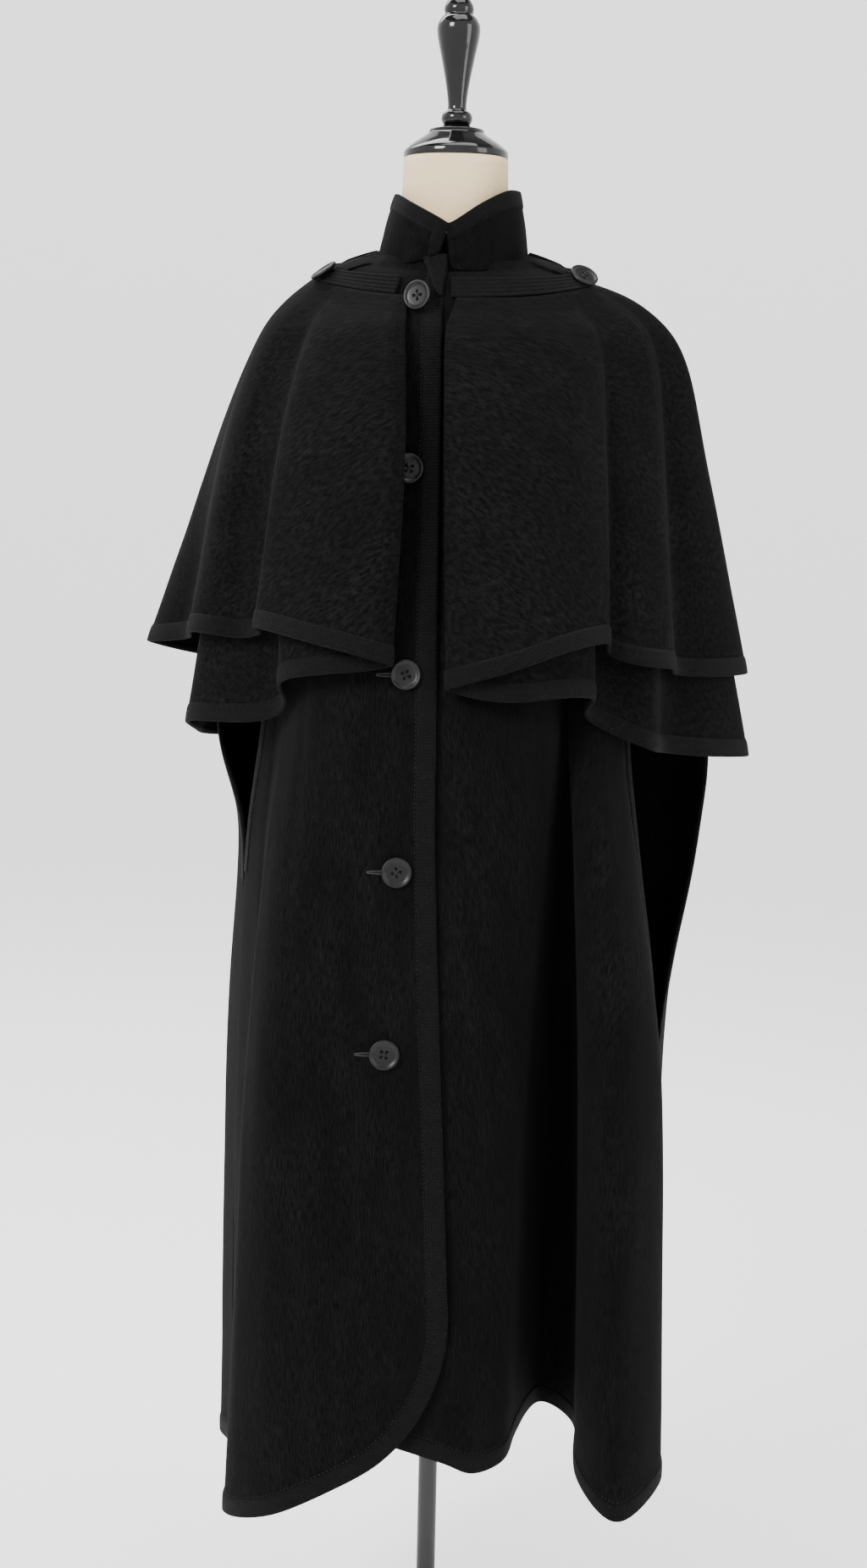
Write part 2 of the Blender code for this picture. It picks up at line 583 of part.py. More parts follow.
def build_body(wool, braid, lower_cape, bands):
    form = tree_of_object("dress_form")
    right = body_cloth(RIGHT_FRONT_RIBS, after=BACK_RIBS[1:2])
    back = body_cloth(BACK_RIBS, RIGHT_FRONT_RIBS[-2:-1], LEFT_FRONT_RIBS[1:2])
    left = body_cloth(LEFT_FRONT_RIBS, before=BACK_RIBS[-2:-1])
    grids = {"right_front": right_front_grid(right, 11),
             "back": panel_grid(back, 1, len(BACK_RIBS), 22, 11),
             "left_front": panel_grid(left, 1, len(LEFT_FRONT_RIBS), 24, 11)}
    for name, grid in grids.items():
        grid = kept_inside(grid, [lower_cape], LAYER_GAP)
        grid = kept_inside(grid, bands, BAND_WALL + 0.4)
        if name == "left_front":
            grid = kept_inside(grid, [grids["right_front"]], LAP_GAP)
        grids[name] = grid = kept_outside(grid, form, FORM_GAP)
        sheet(name, grid, COAT_WALL, wool)
        strip = front_braid(grid)[1:] if name == "right_front" else hem_strip(grid, BRAID_WIDTH)
        lay_braid(name + "_braid", strip, braid, 4.7 if name == "right_front" else BRAID_LIFT)
    for name, (panel, last, rows, lift) in ARM_BRAIDS.items():
        strip = side_strip(grids[panel][:, 2:], last, [BRAID_WIDTH * 0.8] * rows)
        lay_braid("arm_braid_" + name, strip, braid, lift)
    tab = []
    for down, width in TAB_ROWS:
        row = np.array([along(column, down) for column in grids["right_front"][:6]])
        tab.append((row[0], along(row, width)))
    tab = np.array(tab).transpose(1, 0, 2)
    lay_braid("neck_tab", tab, braid, 6.9)
    return grids


def add_button(name, point, normal, gap, finish):
    """A turned button with a raised rim, lying on a surface at `point`."""
    made = turned(name, BUTTON_PROFILE, finish, segments=14)
    normal = Vector(normal).normalized()
    made.rotation_euler = normal.to_track_quat("Z", "Y").to_euler()
    made.location = (Vector(point) + normal * gap) * MM


def build_buttons(grids, bands, horn):
    panel = tree_of(grids["right_front"])
    for number, (x, height) in enumerate((TOP_BUTTON, *FRONT_BUTTONS), start=1):
        point, normal, _, _ = panel.ray_cast(Vector((x, -400, height)), Vector((0, 1, 0)))
        gap = TOP_BUTTON_LIFT if number == 1 else BUTTON_LIFT
        add_button(f"front_button_{number}", point, normal, gap, horn)
    for side, (angle, facing, lift) in SHOULDER_BUTTONS.items():
        add_button("shoulder_button_" + side, band_ring(angle, 0.5), facing, lift, horn)


def tree_of_object(name):
    mesh = bpy.data.objects[name].data
    points = [vertex.co / MM for vertex in mesh.vertices]
    return BVHTree.FromPolygons(points, [tuple(face.vertices) for face in mesh.polygons])


def build_collar(wool, braid):
    ribs = [(neckline(angle, lift - 0.6, out), top) for angle, lift, out, *top in COLLAR_RIBS]
    cloth = Cloth([(top, base) for base, top in ribs])
    grid = cloth.at(np.linspace(0, len(ribs) - 1, 2 * len(ribs) - 1)[:, None], np.linspace(0, 1, 4)[None, :])
    sheet("collar", grid, COAT_WALL, wool)
    strip = np.array([(column[0], along(column, COLLAR_BRAID)) for column in grid])
    lay_braid("collar_braid", strip[1:-1], braid, BRAID_LIFT)


def clear_old_scene():
    for old in list(bpy.data.objects):
        bpy.data.objects.remove(old, do_unlink=True)


def main():
    clear_old_scene()
    linen = material("cream linen", (0.78, 0.72, 0.62), 0.85)
    lacquer = material("black lacquer", (0.01, 0.01, 0.01), 0.12)
    iron = material("dark iron", (0.05, 0.05, 0.05), 0.35)
    felt = material("black cape felt", (0.03, 0.03, 0.032), 0.95)
    wool = material("black brushed wool", (0.045, 0.045, 0.045), 0.95)
    braid = material("black braid", (0.06, 0.06, 0.06), 0.9)
    horn = material("black button", (0.05, 0.05, 0.052), 0.35)
    build_form(linen, lacquer, iron)
    lower = build_cape(felt, braid)[1]
    bands = build_neckband(braid)
    grids = build_body(wool, braid, lower, bands)
    build_collar(wool, braid)
    build_buttons(grids, bands, horn)


if __name__ == "__main__":
    main()
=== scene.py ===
"""The looks of a black wool cape coat on its limbless dress form.

Each cloth piece is a fine grid laid on a surface that is drawn by ribs: a rib is one line down the
cloth, at the top of a fold or in the bottom of a valley, and each row of a table is one rib. Table
values are in millimetres, with +Z up, the front of the coat towards -Y and the floor at z = 0.
"""
import math
from functools import lru_cache

import bmesh
import bpy
import numpy as np
from bpy.props import FloatProperty, FloatVectorProperty, PointerProperty
from mathutils import Matrix, Vector, noise
from mathutils.bvhtree import BVHTree


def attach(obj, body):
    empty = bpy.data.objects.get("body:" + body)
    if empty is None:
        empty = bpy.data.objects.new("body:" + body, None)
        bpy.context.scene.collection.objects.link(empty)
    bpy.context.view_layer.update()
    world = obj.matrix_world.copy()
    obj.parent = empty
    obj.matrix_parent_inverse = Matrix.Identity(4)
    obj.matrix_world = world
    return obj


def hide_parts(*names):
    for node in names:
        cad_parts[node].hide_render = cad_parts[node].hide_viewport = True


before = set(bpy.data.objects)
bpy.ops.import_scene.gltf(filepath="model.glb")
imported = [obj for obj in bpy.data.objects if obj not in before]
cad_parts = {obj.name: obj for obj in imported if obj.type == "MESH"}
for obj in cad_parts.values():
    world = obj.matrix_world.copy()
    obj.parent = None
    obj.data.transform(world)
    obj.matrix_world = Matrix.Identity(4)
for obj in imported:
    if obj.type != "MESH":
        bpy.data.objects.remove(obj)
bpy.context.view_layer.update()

bl_info = {
    "name": "Cape coat on dress form",
    "version": (1, 0, 0),
    "blender": (4, 5, 0),
    "location": "3D View > Sidebar > Cape Coat",
    "description": "Builds a black wool cape coat, its braids and buttons, and the form it stands on",
    "category": "Object",
}

MM = 0.001
SEAM = 0.3            # gap left at a seam
CAPE_GAP = 8.0        # from the outside of the upper tier to the outside of the lower one
TIER_GAP = 4.6        # least distance from the outside of the upper tier to the lower one's
LAYER_GAP = 5.8       # least distance from the outside of the lower tier to the coat's
LAP_GAP = 6.0         # from the outside of the right front to the left front under it
FORM_GAP = 3.5        # least distance from the form to the outside of the coat
CAPE_STEPS = 8        # grid columns for each rib of the cape
CAPE_ROWS = 64
BODY_STEPS = 15       # grid columns for each rib of a coat panel
BODY_ROWS = 120

# ---------------------------------------------------------------- dress form
# height, half width, half depth, middle of the depth
FORM_SECTIONS = (
    (790, 128, 80, 6), (797, 136, 86, 6), (850, 146, 92, 6), (920, 142, 90, 4),
    (1010, 116, 80, 2), (1040, 112, 78, 0), (1100, 120, 86, -4), (1170, 136, 96, -6),
    (1230, 144, 96, -3), (1300, 152, 86, 4), (1340, 156, 74, 6), (1364, 155, 60, 6),
    (1386.4, 146.4, 52, 5), (1401.4, 126.4, 48, 4), (1415.4, 99.4, 48, 2), (1428.4, 74.4, 49, 0),
    (1442, 58, 51, 0), (1462, 53, 52, 0), (1500, 52, 52, 0), (1537, 51, 51, 0))

# height, radius of the turned cap, from its rim upwards
CAP_PROFILE = (
    (1537.4, 50.0), (1538.6, 51.2), (1543.0, 51.2), (1545.5, 50.0), (1549.0, 46.5), (1553.5, 40.5),
    (1558.0, 33.5), (1561.5, 28.5), (1563.5, 27.4), (1565.5, 26.4), (1566.6, 22.0), (1568.6, 16.0),
    (1570.0, 13.4))

# height, radius of the turned finial
FINIAL_PROFILE = (
    (1570.4, 11.0), (1571.6, 13.6), (1576.6, 15.3), (1581.6, 13.6), (1584.0, 10.0), (1588.0, 9.1),
    (1598.0, 9.9), (1615.0, 12.6), (1635.0, 16.6), (1650.0, 19.8), (1660.0, 21.1), (1666.0, 20.4),
    (1671.5, 17.4), (1675.0, 13.9), (1677.0, 14.0), (1680.5, 14.5), (1685.0, 13.2), (1689.5, 10.0),
    (1692.6, 5.4))

# ---------------------------------------------------------------- cape
CHEST = 1360.0        # height of the first pair of columns below the yoke
MID = 1245.0          # height of the second pair

# Upper tier, from the left front edge round the back to the right one. Angle round the neckband
# (0 front, 90 the -X shoulder, 180 back), lift over the shoulder, x and y at the chest, x and y at
# mid height, x, y and height at the hem, then x, y and height of the lower tier's hem.
CAPE_RIBS = (
    # angle lift  chest       mid         upper hem          lower hem
    (20, 0, -46, -122, -43, -164, -50, -190, 1055, -51, -180, 1053),    # front edge
    (23, 0, -60, -129, -57, -175, -76, -205, 1063, -75, -191, 1049),
    (36, 0, -98, -118, -106, -165, -123, -192, 1074, -114, -181, 1045),
    (50, 0, -136, -91, -163, -126, -185, -140, 1086, -161, -146, 1035),  # edge of the front fold
    (56, 2, -139, -72, -162, -103, -176, -118, 1078, -151, -122, 1013),    # hidden return
    (62, 4, -160, -58, -186, -82, -199, -97, 1072, -166, -105, 996),      # valley
    (68, 5, -175, -48, -206, -74, -228, -91, 1076, -205, -84, 990),
    (75, 6, -187, -30, -222, -48, -252, -64, 1076, -256, -48, 989),      # edge of the second fold
    (83, 8, -191, -10, -226, -12, -253, -18, 1067, -251, 4, 976),
    (92, 9, -195, 14, -239, 18, -287, 8, 1062, -250, 52, 968),
    (101, 8, -193, 34, -238, 52, -304, 46, 1060, -248, 98, 962),        # silhouette fold
    (112, 6, -178, 58, -214, 88, -262, 98, 1046, -222, 134, 958),
    (124, 4, -154, 78, -188, 122, -214, 150, 1036, -180, 166, 950),
    (136, 2, -126, 90, -146, 132, -158, 150, 1030, -140, 150, 950),
    (148, 0, -96, 99, -108, 152, -122, 188, 1022, -112, 186, 940),
    (160, 0, -62, 104, -66, 154, -74, 182, 1022, -70, 176, 942),
    (172, 0, -26, 107, -28, 168, -30, 206, 1016, -30, 206, 936),
    (184, 0, 14, 107, 16, 158, 18, 184, 1020, 18, 178, 942),
    (196, 0, 50, 105, 56, 166, 62, 202, 1018, 62, 200, 938),
    (208, 0, 86, 100, 98, 150, 106, 176, 1024, 102, 170, 944),
    (221, 2, 120, 92, 142, 146, 156, 180, 1026, 150, 180, 942),
    (234, 5, 154, 80, 182, 122, 202, 138, 1032, 190, 134, 950),
    (246, 9, 184, 64, 218, 96, 250, 118, 1036, 248, 122, 950),
    (257, 12, 212, 44, 244, 66, 280, 74, 1040, 282, 78, 955),
    (268, 14, 231, 18, 262, 26, 310, 30, 1041, 315, 30, 957),            # silhouette fold
    (277, 13, 217, 0, 240, -6, 268, -22, 1040, 262, -26, 961),
    (285, 10, 197, -14, 211, -22, 224, -50, 1043, 214, -54, 967),
    (292, 7, 190, -32, 207, -51, 223, -90, 1051, 204, -98, 972),         # edge of the second fold
    (300, 4, 164, -50, 176, -78, 190, -124, 1055, 167, -104, 986),
    (307, 2, 144, -64, 149, -92, 153, -121, 1064, 132, -122, 1006),        # hidden return
    (313, 0, 137, -82, 147, -111, 156, -141, 1078, 145, -143, 1025),     # edge of the front fold
    (324, 0, 100, -107, 109, -152, 116, -186, 1072, 105, -177, 1027),
    (338, 0, 58, -126, 61, -175, 65, -209, 1054, 64, -196, 1023),
    (352, 0, 14, -130, 16, -173, 22, -203, 1041, 26, -190, 1026),
    (358, 0, -6, -122, -4, -164, 1, -190, 1034, 2, -180, 1032))          # front edge

# ---------------------------------------------------------------- coat body
BODY_HEIGHTS = (1345.0, 1010.0, 870.0, 650.0)
SHOULDER_TIPS = {"left": (-164, 2, 1379), "right": (170, 2, 1380)}
YOKE_DROP = (26, 8)         # how far the cloth runs nearly level from the shoulder seam, and drops

# Ribs from the right front edge round the back to the left front edge. The top of a rib lies on the
# neckline at an angle, or at a fraction along the shoulder seam (-X negative, +X positive). Then x
# and y at the four heights above, and the hem point.
RIGHT_FRONT_RIBS = (
    # neck seam  chest       waist       hip         knee        hem
    (5, 0, -11, -108, -9, -174, -7, -186, 3, -203, 20, -207, 330),       # front edge
    (16, 0, -34, -110, -36, -176, -36, -188, -33, -206, -22, -211, 312),
    (36, 0, -74, -106, -83, -172, -84, -188, -92, -209, -88, -218, 277),
    (60, 0, -116, -84, -126, -142, -138, -168, -154, -198, -152, -206, 244),
    (90, 0.02, -140, -58, -150, -98, -165, -130, -182, -152, -199, -150, 225),   # front fold
    (0, 0.5, -152, -34, -160, -66, -172, -82, -178, -86, -184, -84, 240),        # valley
    (0, 1.0, -164, -8, -178, -32, -194, -26, -202, -12, -203, -6, 238))          # side seam
BACK_RIBS = (
    (0, 1.0, -174, 14, -229, 42, -198, -20, -202, -12, -203, -6, 238),
    (0, 0.5, -166, 36, -214, 84, -206, 62, -216, 66, -220, 70, 228),
    (90, 0.02, -146, 60, -166, 106, -170, 100, -174, 98, -176, 100, 242),
    (112, 0, -110, 78, -124, 150, -130, 164, -140, 180, -147, 190, 226),
    (146, 0, -60, 88, -68, 134, -76, 130, -80, 132, -84, 134, 242),
    (180, 0, 0, 92, -10, 164, -10, 176, -10, 192, -10, 207, 224),
    (214, 0, 60, 89, 65, 136, 66, 132, 70, 134, 72, 137, 242),
    (248, 0, 110, 80, 124, 156, 130, 168, 140, 184, 147, 196, 226),
    (270, -0.02, 150, 62, 174, 110, 182, 102, 188, 100, 192, 100, 242),
    (0, -0.5, 178, 38, 240, 94, 240, 88, 234, 72, 238, 76, 230),
    (0, -1.0, 190, 14, 264, 44, 262, 42, 223, -18, 232, -10, 252))
LEFT_FRONT_RIBS = (
    (0, -1.0, 178, -8, 182, -30, 196, -28, 223, -18, 232, -10, 252),             # side seam
    (0, -0.5, 168, -32, 172, -68, 182, -72, 206, -76, 222, -70, 262),            # valley
    (270, -0.02, 150, -52, 170, -82, 188, -120, 217, -136, 228, -134, 258),     # wide fold
    (288, 0, 130, -70, 144, -104, 155, -160, 171, -190, 181, -190, 237),
    (299, 0, 116, -80, 120, -100, 127, -134, 137, -146, 144, -136, 262),         # its inner edge
    (306, 0, 110, -82, 120, -90, 130, -90, 140, -68, 147, -56, 284),
    (312, 0, 102, -86, 113, -94, 115, -76, 112, -48, 112, -22, 296),             # deep valley
    (319, 0, 92, -90, 104, -120, 102, -120, 91, -118, 85, -116, 298),
    (328, 0, 74, -98, 90, -144, 86, -157, 77, -166, 72, -178, 293),
    (341, 0, 40, -104, 50, -163, 44, -178, 44, -190, 42, -204, 289),             # middle fold
    (356, 0, 4, -105, 6, -168, 6, -181, 12, -196, 14, -203, 298),
    (377, 0, -36, -104, -40, -168, -40, -181, -36, -197, -34, -201, 312))        # hidden edge

CORNER_ALONG_HEM = 89.0     # the rounded lower corner of the right front
CORNER_UP_EDGE = 108.0
TAB_ROWS = ((0, 24), (14, 19), (28, 13), (40, 7), (46, 3))    # way down the front edge, width there
LAP_TUCK = 6.0              # how much further in the left front's neckline lies under the right one

# ---------------------------------------------------------------- collar
# From the -X front end round the back to the +X one: angle round the neckline, lift of the lower
# edge above it, how far that edge stands out, then the top point.
COLLAR_RIBS = (
    # angle lift  out   top
    (11, 19, 2, -7, -79, 1467),       # left end, curled up
    (20, 12, 3, -17, -77, 1473),
    (33, 5, 3, -31, -70, 1481),
    (54, 1, 0, -47, -54, 1491),
    (72, 0, 0, -56, -28, 1499),
    (98, 0, 0, -58, 12, 1503),
    (134, 0, 0, -44, 48, 1506),
    (180, 0, 0, 0, 62, 1508),
    (226, 0, 0, 46, 48, 1507),
    (262, 0, 0, 61, 12, 1506),
    (290, 0, 0, 62, -26, 1504),
    (308, 0, 0, 50, -53, 1501),
    (337, 0, 0, 25, -70, 1487),
    (356, 2, 0, 0, -75, 1470),
    (363, 6, 0, -8, -76, 1467))       # right end

# ---------------------------------------------------------------- buttons
# Front buttons: x and height of each on the right front, from the second one down.
FRONT_BUTTONS = ((-38.5, 1235), (-37, 1044), (-42, 861), (-50, 692))
TOP_BUTTON = (-28, 1397)
BUTTON_LIFT = 0.5
TOP_BUTTON_LIFT = 11.0       # over the braid and the tab
# Shoulder buttons: angle round the neckband, the way each one faces and its lift.
SHOULDER_BUTTONS = {"left": (72, (-0.55, -0.22, 0.80), 2.4), "right": (286, (0.34, -0.60, 0.72), 3.3)}

# ---------------------------------------------------------------- details of the looks
BAND_SPANS = {"neckband_left": (24.0, 83.0), "neckband_back": (83.3, 274.7), "neckband_right": (275.0, 361.0)}
BAND_RIBS = 5
ARC_COLUMNS = 26            # columns of the right front that stop on its rounded corner
YOKE_INSET = 3.6            # from the neckband's outside to the cloth that it lies on
YOKE_BULGE = 1.0            # how far it swells between the two
YOKE_FALL = 1.9             # how steeply that cloth goes down under the band
ARM_TOP = 1300.0            # height up to which the arm openings' edges are bound
ARM_EDGES = {"left_front": ("right_front", True, 826.0), "left_back": ("back", False, 826.0),
             "right_back": ("back", True, 712.0), "right_front": ("left_front", False, 712.0)}
COLLAR_BOW = 1.6            # how far the collar bows out between its edges
TAB_LIFT = 4.6              # from the outside of the front to the outside of the tab
TAB_WALL = 0.0016           # metres
TOP_BUTTON_FACING = (-0.48, -0.86, 0.14)
HOLE_OUT = 3.5              # from a button's middle to each of its holes
HOLE_ASIDE = HOLE_OUT * 0.72    # how far to each side the two bars of thread lie
BAR_RADIUS = 0.45           # of a bar of thread
# height and part of the radius, from the back of a button round its rim into its dish
BUTTON_ROWS = (
    (0.0, 0.70), (0.5, 0.84), (1.4, 0.95), (2.6, 1.0), (3.5, 0.995), (4.1, 0.965), (4.4, 0.92),
    (4.35, 0.87), (4.0, 0.82), (3.4, 0.77), (2.9, 0.70), (2.7, 0.60), (2.6, 0.40))

# Soft creases: across and down to where one starts, across and down to where it ends, as parts of
# the piece, then its half width and how high it stands in millimetres (negative is pressed in).
UPPER_CAPE_CREASES = (
    (0.030, 0.02, 0.028, 0.62, 9, 1.6), (0.012, 0.05, 0.014, 0.80, 7, -1.2), (0.060, 0.30, 0.064, 0.95, 14, -1.3),
    (0.105, 0.10, 0.110, 0.70, 12, 1.4), (0.160, 0.25, 0.150, 0.90, 13, -1.5), (0.230, 0.12, 0.245, 0.80, 15, 1.6),
    (0.330, 0.20, 0.320, 0.95, 16, -1.7), (0.410, 0.08, 0.415, 0.75, 14, 1.5), (0.505, 0.25, 0.500, 0.95, 17, -1.6),
    (0.600, 0.10, 0.610, 0.85, 14, 1.5), (0.690, 0.20, 0.680, 0.90, 15, -1.6), (0.770, 0.10, 0.780, 0.70, 12, 1.5),
    (0.850, 0.25, 0.842, 0.95, 12, -1.4), (0.905, 0.12, 0.900, 0.80, 13, 1.3), (0.955, 0.30, 0.950, 0.98, 12, -1.2),
    (0.982, 0.05, 0.980, 0.70, 8, 1.2))
LOWER_CAPE_CREASES = (
    (0.070, 0.55, 0.066, 0.99, 12, -1.4), (0.150, 0.60, 0.160, 0.99, 12, 1.4), (0.260, 0.55, 0.250, 0.99, 14, -1.5),
    (0.380, 0.60, 0.390, 0.99, 14, 1.5), (0.520, 0.55, 0.510, 0.99, 15, -1.5), (0.640, 0.60, 0.650, 0.99, 14, 1.5),
    (0.760, 0.55, 0.750, 0.99, 12, -1.4), (0.900, 0.60, 0.905, 0.99, 12, 1.3))
BODY_CREASES = {
    "right_front": (
        (0.20, 0.36, 0.30, 0.60, 20, 1.6), (0.46, 0.30, 0.40, 0.72, 16, -1.5), (0.66, 0.40, 0.60, 0.98, 18, 1.8),
        (0.12, 0.55, 0.05, 0.90, 18, -1.2), (0.84, 0.35, 0.80, 0.80, 14, -1.6), (0.33, 0.70, 0.36, 0.99, 20, 1.4)),
    "back": (
        (0.10, 0.30, 0.08, 0.90, 18, 1.6), (0.24, 0.40, 0.27, 0.98, 20, -1.8), (0.40, 0.32, 0.38, 0.85, 18, 1.7),
        (0.55, 0.45, 0.57, 0.99, 20, -1.7), (0.70, 0.30, 0.68, 0.90, 18, 1.7), (0.86, 0.42, 0.88, 0.98, 18, -1.6)),
    "left_front": (
        (0.12, 0.35, 0.15, 0.95, 15, 1.6), (0.28, 0.40, 0.26, 0.98, 12, -1.5), (0.52, 0.42, 0.50, 0.90, 10, 1.2),
        (0.72, 0.38, 0.75, 0.96, 14, -1.6), (0.88, 0.40, 0.86, 0.85, 14, 1.3))}
COLLAR_CREASES = (
    (0.04, 0.50, 0.16, 0.95, 7, 1.4), (0.10, 0.30, 0.02, 0.85, 6, -1.2), (0.30, 0.85, 0.44, 0.95, 9, 0.9),
    (0.62, 0.20, 0.60, 0.80, 14, 0.8), (0.86, 0.78, 0.97, 0.92, 6, -0.9), (0.90, 0.55, 0.99, 0.70, 7, 0.8))

# ---------------------------------------------------------------- lights and camera
# name, place, what it is aimed at, width and height, power
LAMPS = (
    ("key lamp", (-2.1, -2.7, 2.9), (0.0, 0.0, 1.0), (1.3, 1.3), 230.0),
    ("side lamp", (2.6, -1.6, 1.9), (0.0, 0.0, 1.0), (1.2, 2.0), 45.0),
    ("top lamp", (0.2, -0.4, 3.6), (0.0, 0.0, 1.2), (1.8, 1.2), 45.0),
    ("paper lamp", (-1.2, 1.3, 3.4), (0.0, 2.9, 1.0), (3.0, 1.0), 120.0))
PAPER_FLOOR, PAPER_BEND, PAPER_TOP = 6500.0, 3000.0, 11000.0    # flat floor's radius, sweep, height
AIR_STRENGTH = 0.3          # of the white air round the stage
CAMERA_PLACE = (-0.009, -2.5, 1.2)
CAMERA_DIP = 6.3            # degrees that it looks down
CAMERA_ROLL = 1.22
SENSOR = 36.0
FOCAL_LENGTH = 57.57


# ================================================================ surfaces from ribs
def weights(count, at):
    """Catmull-Rom weights of `count` control points at the parameters `at`, ends mirrored."""
    at = np.atleast_1d(np.asarray(at, float)).clip(0, count - 1)
    base = np.minimum(at.astype(int), count - 2)
    t = at - base
    basis = (-0.5 * t + t ** 2 - 0.5 * t ** 3, 1 - 2.5 * t ** 2 + 1.5 * t ** 3,
             0.5 * t + 2 * t ** 2 - 1.5 * t ** 3, -0.5 * t ** 2 + 0.5 * t ** 3)
    table = np.zeros((len(at), count))
    rows = np.arange(len(at))
    for step, weight in zip((-1, 0, 1, 2), basis):
        index = base + step
        low, high = index < 0, index >= count
        inside = ~(low | high)
        np.add.at(table, (rows[inside], index[inside]), weight[inside])
        for outside, edge, inner in ((low, 0, 1), (high, count - 1, count - 2)):
            np.add.at(table, (rows[outside], np.full(outside.sum(), edge)), 2 * weight[outside])
            np.add.at(table, (rows[outside], np.full(outside.sum(), inner)), -weight[outside])
    return table


def run_along(line):
    """Length run along a line of points, at every point."""
    return np.concatenate(([0], np.cumsum(np.linalg.norm(np.diff(line, axis=0), axis=1))))


def places_on(line, run, wanted):
    """The points at the `wanted` runs along a line."""
    return np.stack([np.interp(wanted, run, line[:, k]) for k in range(3)], axis=1)


def even_ribs(ribs, steps=41):
    """Resample each rib at equal lengths along itself."""
    fine = weights(ribs.shape[1], np.linspace(0, ribs.shape[1] - 1, 240)) @ ribs
    out = []
    for rib in fine:
        run = run_along(rib)
        out.append(places_on(rib, run, np.linspace(0, run[-1], steps)))
    return np.array(out)


class Cloth:
    """A surface through evenly sampled ribs: p counts ribs, q runs 0 to 1 from top to hem."""

    def __init__(self, ribs):
        self.ribs = even_ribs(np.asarray(ribs, float))
        self.lengths = np.linalg.norm(np.diff(self.ribs, axis=1), axis=2).sum(axis=1)

    def at(self, p, q):
        """The points of the surface at p and q."""
        p, q = np.broadcast_arrays(np.asarray(p, float), np.asarray(q, float))
        across = weights(len(self.ribs), p.ravel())
        down = weights(self.ribs.shape[1], q.ravel() * (self.ribs.shape[1] - 1))
        points = np.einsum("ni,nj,ijk->nk", across, down, self.ribs)
        return points.reshape(p.shape + (3,))

    def length(self, p):
        """Length of the cloth from top to hem at rib parameter p."""
        return weights(len(self.lengths), np.ravel(p)) @ self.lengths

    def reach(self, q, distance):
        """Rib parameter found by going `distance` along row q from the first rib."""
        start = np.linspace(0, 2.5, 120)
        out = []
        for value in np.atleast_1d(q):
            row = self.at(start, value)
            run = run_along(row)
            out.append(np.interp(distance, run, start))
        return np.array(out)


def unit(vectors):
    """The vectors at length one."""
    return vectors / np.maximum(np.linalg.norm(vectors, axis=-1, keepdims=True), 1e-9)


def normals_of(grid):
    """Unit normals of a grid of points, outwards for p clockwise seen from above and q down."""
    across = np.gradient(grid, axis=0)
    down = np.gradient(grid, axis=1)
    return unit(np.cross(across, down))


def moved_out(grid, distance):
    """The points of a grid moved out along its normals."""
    return grid + normals_of(grid) * distance


def tree_of(grid):
    """A search tree over the quads of a grid."""
    columns, rows = grid.shape[:2]
    index = np.arange(columns * rows).reshape(columns, rows)
    quads = np.stack([index[:-1, :-1], index[1:, :-1], index[1:, 1:], index[:-1, 1:]], axis=-1).reshape(-1, 4)
    return BVHTree.FromPolygons(grid.reshape(-1, 3).tolist(), quads.tolist())


def kept_inside(grid, outer_grids, gap, rounds=4):
    """Tuck the points of one layer in behind the outer layers, at least `gap` behind each."""
    points = grid.reshape(-1, 3).copy()
    trees = [tree_of(outer) for outer in outer_grids]
    for _ in range(rounds):
        for tree in trees:
            for k, point in enumerate(points):
                near, normal, _, distance = tree.find_nearest(point, 40.0)
                if near is None:
                    continue
                offset = np.array(point) - np.array(near)
                depth = float(offset @ np.array(normal))
                facing = distance < 1e-6 or abs(depth) > 0.6 * distance
                if facing and depth > -gap:
                    points[k] -= np.array(normal) * (gap + depth)
    return points.reshape(grid.shape)


def kept_outside(grid, tree, gap):
    """Push the points of the coat out of the dress form, at least `gap` from it."""
    points = grid.reshape(-1, 3).copy()
    for k, point in enumerate(points):
        near, normal, _, _ = tree.find_nearest(point, 40.0)
        if near is None:
            continue
        depth = float((np.array(point) - np.array(near)) @ np.array(normal))
        if depth < gap:
            points[k] += np.array(normal) * (gap - depth)
    return points.reshape(grid.shape)


# ================================================================ surfaces of the pieces
def eased(grid, before, rounds=6):
    """A grid whose moves away from `before` are spread evenly over their neighbours."""
    move = grid - before
    for _ in range(rounds):
        for axis in (0, 1):
            move = np.swapaxes(move, 0, axis)
            move[1:-1] = (move[:-2] + 2 * move[1:-1] + move[2:]) / 4
            move = np.swapaxes(move, 0, axis)
    return before + move


def softened(grid, across, down):
    """Round a grid's ridges by so many passes over its columns and its rows, its rim kept."""
    soft = grid.copy()
    for axis, rounds in ((0, across), (1, down)):
        soft = np.swapaxes(soft, 0, axis)
        for _ in range(rounds):
            soft[1:-1] = (soft[:-2] + 2 * soft[1:-1] + soft[2:]) / 4
        soft = np.swapaxes(soft, 0, axis)
    return soft


def uneven(grid, amount, span, seed):
    """Cloth never hangs quite even: soft swells of `amount` over about `span`."""
    swell = np.zeros(grid.shape[:2])
    for index in np.ndindex(*swell.shape):
        x, y, z = grid[index] / span
        swell[index] = noise.noise(Vector((x + seed, y, z * 0.45)))
        swell[index] += 0.4 * noise.noise(Vector((x * 2.6, y * 2.6 + seed, z * 1.1)))
    return grid + normals_of(grid) * (swell * amount)[..., None]


